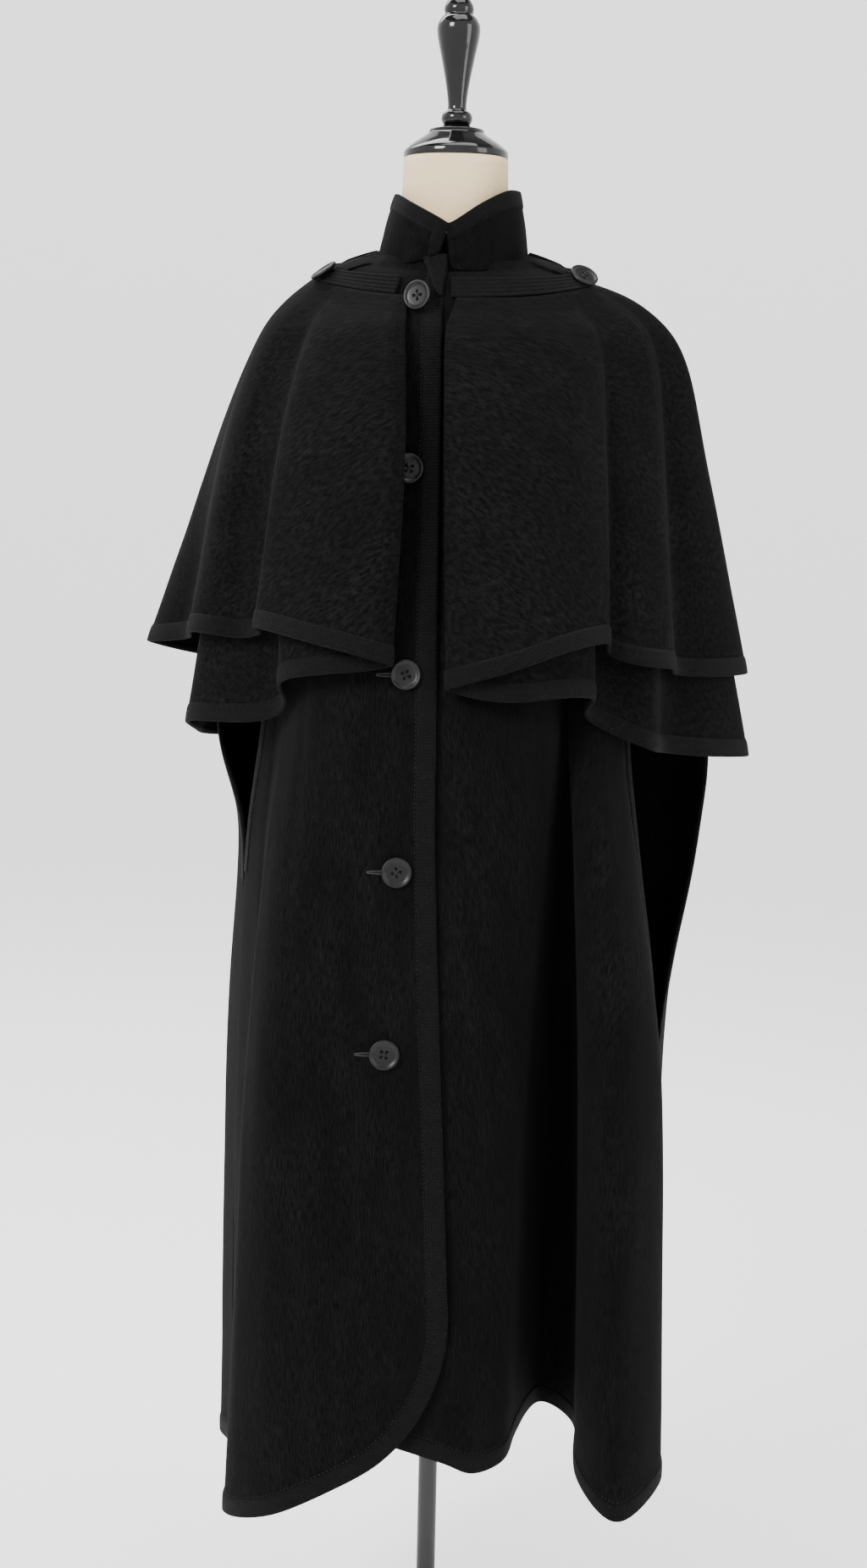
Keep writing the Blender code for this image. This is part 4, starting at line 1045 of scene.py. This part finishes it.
@lru_cache(maxsize=None)
def linen():
    """Plain linen drawn tight: single threads up and round, slubs, and a faint yellowing."""
    colour = tuple(bpy.context.scene.coat_colours.linen)
    n = Nodes("cream linen")
    split = n.add("SeparateXYZ", {"Vector": n.place("UV", (1.0, 1.0, 1.0))})
    warp = n.math("SINE", n.math("MULTIPLY", split.outputs["X"], 2 * math.pi / 0.00085))
    weft = n.math("SINE", n.math("MULTIPLY", split.outputs["Y"], 2 * math.pi / 0.00095))
    weave = n.math("MULTIPLY_ADD", n.math("ADD", warp, weft), 0.25, 0.5)
    slub_up = n.noise("UV", (700.0, 40.0, 1.0), 3.0)
    slub_round = n.noise("UV", (40.0, 700.0, 1.0), 3.0)
    slubs = n.math("MULTIPLY", n.math("ADD", slub_up, slub_round), 0.5)
    age = n.noise("UV", (16.0, 9.0, 1.0), 4.0)
    tone = n.mix(slubs, times(colour, 0.82), times(colour, 1.1))
    tone = n.mix(n.ramp(age, (0.45, (0.0, 0.0, 0.0)), (0.75, (0.45, 0.45, 0.45))), tone,
                 (colour[0] * 0.88, colour[1] * 0.80, colour[2] * 0.62))
    relief = n.bump(slubs, 0.35, 0.0004, n.bump(weave, 0.35, 0.0003))
    return n.finish(tone, relief, 0.85, Sheen_Weight=0.08, Specular_IOR_Level=0.25)


@lru_cache(maxsize=None)
def lacquer():
    """Black lacquer over turned wood: a clear hard gloss with a very slight swell under it."""
    colour = tuple(bpy.context.scene.coat_colours.lacquer)
    n = Nodes("black lacquer")
    swell = n.noise("Object", (26.0, 26.0, 60.0), 2.0)
    dust = n.noise("Object", (420.0, 420.0, 420.0), 4.0, 0.7)
    roughness = n.math("MULTIPLY_ADD", n.math("POWER", dust, 3.0), 0.35, 0.05)
    tone = n.mix(dust, times(colour, 0.8), times(colour, 1.6))
    return n.finish(tone, n.bump(swell, 0.06, 0.002), roughness, Coat_Weight=0.12, Coat_Roughness=0.04,
                    Specular_IOR_Level=0.3)


@lru_cache(maxsize=None)
def iron():
    """Dark painted iron: satin, orange-peeled, a little rubbed."""
    colour = tuple(bpy.context.scene.coat_colours.iron)
    n = Nodes("dark iron")
    peel = n.noise("Object", (500.0, 500.0, 500.0), 3.0)
    rubbed = n.noise("Object", (14.0, 14.0, 20.0), 5.0)
    tone = n.mix(rubbed, times(colour, 0.6), times(colour, 1.6))
    roughness = n.math("MULTIPLY_ADD", rubbed, 0.3, 0.25)
    return n.finish(tone, n.bump(peel, 0.15, 0.0004), roughness, Metallic=0.4)


@lru_cache(maxsize=None)
def studio_white():
    """Pale paper that glows a little, so that it stays even from every side."""
    n = Nodes("studio paper")
    grain = n.noise("Object", (60.0, 60.0, 60.0), 3.0)
    shade = tuple(bpy.context.scene.coat_colours.paper)
    return n.finish(n.mix(grain, times(shade, 0.99), shade), None, 0.95, Specular_IOR_Level=0.05,
                    Emission_Color=(1.0, 1.0, 1.0, 1.0), Emission_Strength=0.5)


# ================================================================ sizes and colours
def length_prop(name, description, default):
    """A length that the user can change."""
    return FloatProperty(name=name, description=description, default=default, min=0.0, unit="LENGTH")


def colour_prop(name, description, default):
    """A colour that the user can change."""
    return FloatVectorProperty(name=name, description=description, default=default, size=3,
                               subtype="COLOR", min=0.0, max=1.0)


class CoatSizes(bpy.types.PropertyGroup):
    """Sizes of the cloth and its trimmings"""
    cape_wall: length_prop("Cape cloth", "Thickness of the cape's felted cloth", 0.0022)
    coat_wall: length_prop("Coat cloth", "Thickness of the coat's brushed cloth", 0.0024)
    band_wall: length_prop("Neckband", "Thickness of the ribbed neckband", 0.0028)
    braid_width: length_prop("Braid", "Width of the braid on the coat's edges and the cape's hems", 0.017)
    collar_braid: length_prop("Collar braid", "Width of the braid along the collar's top", 0.015)
    arm_braid: length_prop("Arm braid", "Width of the braid beside the arm openings", 0.0136)
    front_turn: length_prop("Front turn", "Radius of the soft turn at the cape's front edges", 0.0026)
    button_radius: length_prop("Button", "Radius of a coat button", 0.0143)
    button_hole: length_prop("Button holes", "Radius of the four holes in a button", 0.0014)
    buttonhole: length_prop("Buttonhole", "Length of a worked buttonhole", 0.030)


class CoatColours(bpy.types.PropertyGroup):
    """Colours of the cloth, the form and the stage"""
    wool: colour_prop("Coat wool", "Brushed wool of the coat", (0.0020, 0.0020, 0.0021))
    felt: colour_prop("Cape felt", "Felted cloth of the cape", (0.0024, 0.0024, 0.0025))
    braid: colour_prop("Braid", "Braids, neckband and thread", (0.0017, 0.0017, 0.0018))
    button: colour_prop("Buttons", "Dark satin buttons", (0.0035, 0.0035, 0.0038))
    linen: colour_prop("Linen", "Linen of the form's neck", (0.60, 0.47, 0.29))
    lacquer: colour_prop("Lacquer", "Cap and finial", (0.0025, 0.0025, 0.0025))
    iron: colour_prop("Iron", "Pole and base", (0.018, 0.018, 0.018))
    paper: colour_prop("Paper", "Floor and background", (0.93, 0.93, 0.93))


def sizes():
    """The sizes that the user has set."""
    return bpy.context.scene.coat_sizes


# ================================================================ operators
class COAT_OT_stage(bpy.types.Operator):
    """Lay a pale floor that sweeps up all round, and set the lights and the camera"""
    bl_idname = "coat.stage"
    bl_label = "Stage, lights and camera"

    def execute(self, context):
        rising = [(PAPER_BEND * (1 - math.cos(turn)) - 0.5, PAPER_FLOOR + PAPER_BEND * math.sin(turn))
                  for turn in np.linspace(0, math.pi / 2, 24)]
        profile = [(-0.5, 0.0), *rising, (PAPER_TOP, PAPER_FLOOR + PAPER_BEND)]
        paper = turned("studio_paper", profile, studio_white(), 128)
        for name, place, aim, size, power in LAMPS:
            lamp = bpy.data.lights.new(name, "AREA")
            lamp.shape = "RECTANGLE"
            lamp.size, lamp.size_y = size
            lamp.energy = power
            holder = bpy.data.objects.new(name, lamp)
            holder.location = place
            holder.rotation_euler = (Vector(aim) - Vector(place)).to_track_quat("-Z", "Y").to_euler()
            context.scene.collection.objects.link(holder)
        world = bpy.data.worlds.new("studio air")
        world.use_nodes = True
        world.node_tree.nodes["Background"].inputs["Color"].default_value = (1.0, 1.0, 1.0, 1.0)
        world.node_tree.nodes["Background"].inputs["Strength"].default_value = AIR_STRENGTH
        context.scene.world = world
        lens = bpy.data.cameras.new("front camera")
        lens.sensor_fit = "VERTICAL"
        lens.sensor_height = SENSOR
        lens.lens = FOCAL_LENGTH
        camera = bpy.data.objects.new("front camera", lens)
        tilt = Matrix.Rotation(math.radians(90 - CAMERA_DIP), 4, "X")
        roll = Matrix.Rotation(math.radians(CAMERA_ROLL), 4, "Z")
        camera.matrix_world = Matrix.Translation(CAMERA_PLACE) @ tilt @ roll
        context.scene.collection.objects.link(camera)
        context.scene.camera = camera
        return {"FINISHED"}


class COAT_OT_dress_form(bpy.types.Operator):
    """Build the linen form, its lacquered cap and finial, and finish the stand"""
    bl_idname = "coat.dress_form"
    bl_label = "Dress form and stand"

    def execute(self, context):
        skin = laid_mesh("form_torso", form_grid(), linen())
        bm = bmesh.new()
        bm.from_mesh(skin.data)
        bmesh.ops.remove_doubles(bm, verts=bm.verts, dist=1e-5)
        bmesh.ops.holes_fill(bm, edges=[e for e in bm.edges if e.is_boundary])
        bm.to_mesh(skin.data)
        bm.free()
        settle(skin, "cream linen", "dress_form")
        cap = turned("turned_cap", smooth_profile(CAP_PROFILE), lacquer(), 96)
        settle(cap, "black lacquer", "neck_cap")
        knob = turned("turned_finial", smooth_profile(FINIAL_PROFILE), lacquer(), 72)
        settle(knob, "black lacquer", "finial")
        for node in ("stand_pole", "stand_base"):
            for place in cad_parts[node].material_slots:
                place.material = iron()
        return {"FINISHED"}


class COAT_OT_cape(bpy.types.Operator):
    """Hang both tiers of the cape and bind their hems with herringbone braid"""
    bl_idname = "coat.cape"
    bl_label = "Two-tier cape"

    def execute(self, context):
        s = sizes()
        for name, grid, held_by in zip(("upper_cape", "lower_cape"), cape_layers(), ("band_of_back", "band_of_back")):
            shell = rolled(grid, s.front_turn / MM)
            cloth_piece("felt_" + name, shell, s.cape_wall, cape_felt(), "black cape felt", name)
            lines = hem_lines(shell, s.braid_width / MM)
            bound_edge("braid_" + name, lines, shell, s.cape_wall / MM, herringbone_braid(), name + "_braid")
        return {"FINISHED"}


class COAT_OT_neckband(bpy.types.Operator):
    """Lay the ribbed neckband round the shoulders in its three lengths"""
    bl_idname = "coat.neckband"
    bl_label = "Ribbed neckband"

    def execute(self, context):
        for name, (start, end) in BAND_SPANS.items():
            cloth_piece("band_of_" + name.split("_")[1], band_grid(start, end), sizes().band_wall, ribbed_braid(),
                        "black braid", name)
        return {"FINISHED"}


class COAT_OT_body(bpy.types.Operator):
    """Hang the three coat panels, bind their edges and work the buttonholes and seams"""
    bl_idname = "coat.body"
    bl_label = "Coat fronts and back"

    def execute(self, context):
        s = sizes()
        wall, width, narrow = s.coat_wall / MM, s.braid_width / MM, s.arm_braid / MM
        panels = body_layers()
        for name, grid in panels.items():
            cloth_piece("wool_" + name, grid, s.coat_wall, brushed_wool(), "black brushed wool", name)
            lines = front_lines(grid, width) if name == "right_front" else hem_lines(grid, width)
            lift = 1.5 if name == "right_front" else 0.9
            bound_edge("braid_" + name, lines, grid, wall, ribbed_braid(), name + "_braid", lift)
            inner = lines[0] + (lines[0] - lines[1]) * 0.35
            stitch_row("stitches_" + name, inner, tree_of(grid), thread())
        for name, (panel, last, bottom) in ARM_EDGES.items():
            grid = panels[panel]
            edge = grid[-1 if last else 0]
            rows = [j for j in range(grid.shape[1]) if ARM_TOP > edge[j, 2] > bottom]
            lines = [line[rows] for line in side_lines(grid, last, narrow)]
            bound_edge("braid_arm_" + name, lines, grid, wall, ribbed_braid(), "arm_braid_" + name)
        self.sew_tab(panels["right_front"])
        self.work_buttonholes(panels["right_front"], s)
        return {"FINISHED"}

    def sew_tab(self, grid):
        """The short pointed tab under the top button, with its row of stitches."""
        rows = []
        for down in np.linspace(0, TAB_ROWS[-1][0], 26):
            width = np.interp(down, [row[0] for row in TAB_ROWS], [row[1] for row in TAB_ROWS])
            level = along_rows(grid[:50], [down])[:, 0]
            rows.append(along_rows([level], np.linspace(0, width, 16))[0])
        tab = moved_out(np.array(rows).transpose(1, 0, 2), TAB_LIFT)
        cloth_piece("tab_of_neck", tab, TAB_WALL, ribbed_braid(), "black braid", "neck_tab")
        stitch_row("stitches_tab", tab[-3] + normals_of(tab)[-3] * 0.1, tree_of(tab), thread(), 3.4, 2.2)

    def work_buttonholes(self, grid, s):
        """A worked slit beside each front button: two ribbed lips, closed at both ends."""
        tree = tree_of(grid)
        for number, (x, height) in enumerate(FRONT_BUTTONS, start=2):
            reach = s.buttonhole / MM
            loop = []
            for turn in np.linspace(0, 2 * math.pi, 65):
                squeeze = 1.25 * np.sign(np.sin(turn)) * abs(np.sin(turn)) ** 0.6
                place = Vector((x + 3 - reach / 2 + reach / 2 * np.cos(turn), -400, height + squeeze))
                point, normal, _, _ = tree.ray_cast(place, Vector((0, 1, 0)))
                loop.append((point, normal))
            tube = []
            for k, (point, normal) in enumerate(loop):
                before, after = loop[(k - 1) % 64][0], loop[(k + 1) % 64][0]
                side = (after - before).normalized().cross(normal)
                tube.append([np.array(point + normal * (0.35 + 0.6 * math.sin(a)) + side * (0.85 * math.cos(a)))
                             for a in np.linspace(0, 2 * math.pi, 11)])
            made = laid_mesh(f"buttonhole_{number}", np.array(tube), thread())
            bm = bmesh.new()
            bm.from_mesh(made.data)
            bmesh.ops.remove_doubles(bm, verts=bm.verts, dist=2e-6)
            bmesh.ops.recalc_face_normals(bm, faces=bm.faces)
            bm.to_mesh(made.data)
            bm.free()
            settle(made, "black braid")


class COAT_OT_collar(bpy.types.Operator):
    """Stand the collar up and bind its top and its curled front end"""
    bl_idname = "coat.collar"
    bl_label = "Stand collar"

    def execute(self, context):
        s = sizes()
        grid = collar_layer()
        cloth_piece("wool_collar", grid, s.coat_wall, brushed_wool(), "black brushed wool", "collar")
        top = along_rows(grid, np.linspace(s.collar_braid / MM, 0, 7))
        bound_edge("braid_collar", [top[:, k] for k in range(7)], grid, s.coat_wall / MM, herringbone_braid(),
                   "collar_braid")
        end = side_lines(grid[:60], False, s.collar_braid / MM * 0.8)
        bound_edge("braid_collar_end", end, grid, s.coat_wall / MM, herringbone_braid(), None, 1.3)
        return {"FINISHED"}


class COAT_OT_buttons(bpy.types.Operator):
    """Turn the seven buttons, drill their holes and sew them on"""
    bl_idname = "coat.buttons"
    bl_label = "Buttons"

    def execute(self, context):
        tree = tree_of(body_layers()["right_front"])
        for number, (x, height) in enumerate((TOP_BUTTON, *FRONT_BUTTONS), start=1):
            point, normal, _, _ = tree.ray_cast(Vector((x, -400, height)), Vector((0, 1, 0)))
            if number == 1:
                normal, gap = Vector(TOP_BUTTON_FACING).normalized(), TOP_BUTTON_LIFT
            else:
                gap = BUTTON_LIFT
            self.sew_on(f"front_button_{number}", point, normal, gap, 20 + 31 * number)
        for side, (angle, facing, lift) in SHOULDER_BUTTONS.items():
            place, normal = Vector(band_ring(angle, 0.5)), Vector(facing).normalized()
            self.sew_on("shoulder_button_" + side, place, normal, lift, 33)
        return {"FINISHED"}

    def sew_on(self, node, point, normal, gap, spin):
        """Turn one button, drill it, bar it with thread and set it in its place."""
        s = sizes()
        radius = s.button_radius / MM
        rows = [(height, part * radius) for height, part in BUTTON_ROWS]
        profile = [(rows[0][0], 0.0), *rows, (rows[-1][0], 0.0)]
        button = turned("turned_" + node, profile, horn(), 56)
        bore = s.button_hole / MM
        drill = turned("drill", [(-2.0, 0.0), (-2.0, bore), (8.0, bore), (8.0, 0.0)], horn(), 16)
        bm = bmesh.new()
        for k in range(4):
            start = len(bm.verts)
            bm.from_mesh(drill.data)
            bm.verts.ensure_lookup_table()
            turn = math.radians(45 + 90 * k)
            aside = Vector((math.cos(turn), math.sin(turn), 0)) * HOLE_OUT * MM
            bmesh.ops.translate(bm, verts=bm.verts[start:], vec=aside)
        bm.to_mesh(drill.data)
        bm.free()
        cut = button.modifiers.new("holes", "BOOLEAN")
        cut.operation, cut.solver, cut.object = "DIFFERENCE", "EXACT", drill
        drilled = bpy.data.meshes.new_from_object(button.evaluated_get(bpy.context.evaluated_depsgraph_get()))
        button.modifiers.clear()
        button.data = drilled
        bpy.data.objects.remove(drill, do_unlink=True)
        bm = bmesh.new()
        bm.from_mesh(drilled)
        for across in (-HOLE_ASIDE, HOLE_ASIDE):
            bar = Matrix.Translation(Vector((across, 0, BUTTON_ROWS[-1][0] + 0.25)) * MM)
            bmesh.ops.create_cone(bm, cap_ends=True, segments=8, radius1=BAR_RADIUS * MM, radius2=BAR_RADIUS * MM,
                                  depth=2 * HOLE_ASIDE * MM * 1.05,
                                  matrix=bar @ Matrix.Rotation(math.pi / 2, 4, "X"))
        place = (Matrix.Translation((point + normal * gap) * MM) @ normal.to_track_quat("Z", "Y").to_matrix().to_4x4()
                 @ Matrix.Rotation(math.radians(spin), 4, "Z"))
        bmesh.ops.transform(bm, matrix=place, verts=bm.verts)
        bm.to_mesh(drilled)
        bm.free()
        drilled.shade_smooth()
        button.modifiers.new("crisp edges", "WEIGHTED_NORMAL").keep_sharp = True
        settle(button, "black button", node)


class COAT_PT_panel(bpy.types.Panel):
    """Builds the coat piece by piece"""
    bl_idname = "COAT_PT_panel"
    bl_label = "Cape coat on dress form"
    bl_space_type = "VIEW_3D"
    bl_region_type = "UI"
    bl_category = "Cape Coat"

    def draw(self, context):
        for group in (context.scene.coat_sizes, context.scene.coat_colours):
            box = self.layout.box()
            for name in group.__annotations__:
                box.prop(group, name)
        for step in STEPS:
            self.layout.operator(step.bl_idname)


STEPS = (COAT_OT_stage, COAT_OT_dress_form, COAT_OT_neckband, COAT_OT_cape, COAT_OT_body, COAT_OT_collar,
         COAT_OT_buttons)
CLASSES = (CoatSizes, CoatColours, *STEPS, COAT_PT_panel)


def register():
    """Add the classes and the two groups of settings."""
    for made in CLASSES:
        bpy.utils.register_class(made)
    bpy.types.Scene.coat_sizes = PointerProperty(type=CoatSizes)
    bpy.types.Scene.coat_colours = PointerProperty(type=CoatColours)


def unregister():
    """Take the classes and the settings away again."""
    del bpy.types.Scene.coat_colours
    del bpy.types.Scene.coat_sizes
    for made in reversed(CLASSES):
        bpy.utils.unregister_class(made)


def main():
    """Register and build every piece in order."""
    register()
    bpy.ops.coat.stage()
    bpy.ops.coat.dress_form()
    bpy.ops.coat.neckband()
    bpy.ops.coat.cape()
    bpy.ops.coat.body()
    bpy.ops.coat.collar()
    bpy.ops.coat.buttons()


if __name__ == "__main__":
    main()
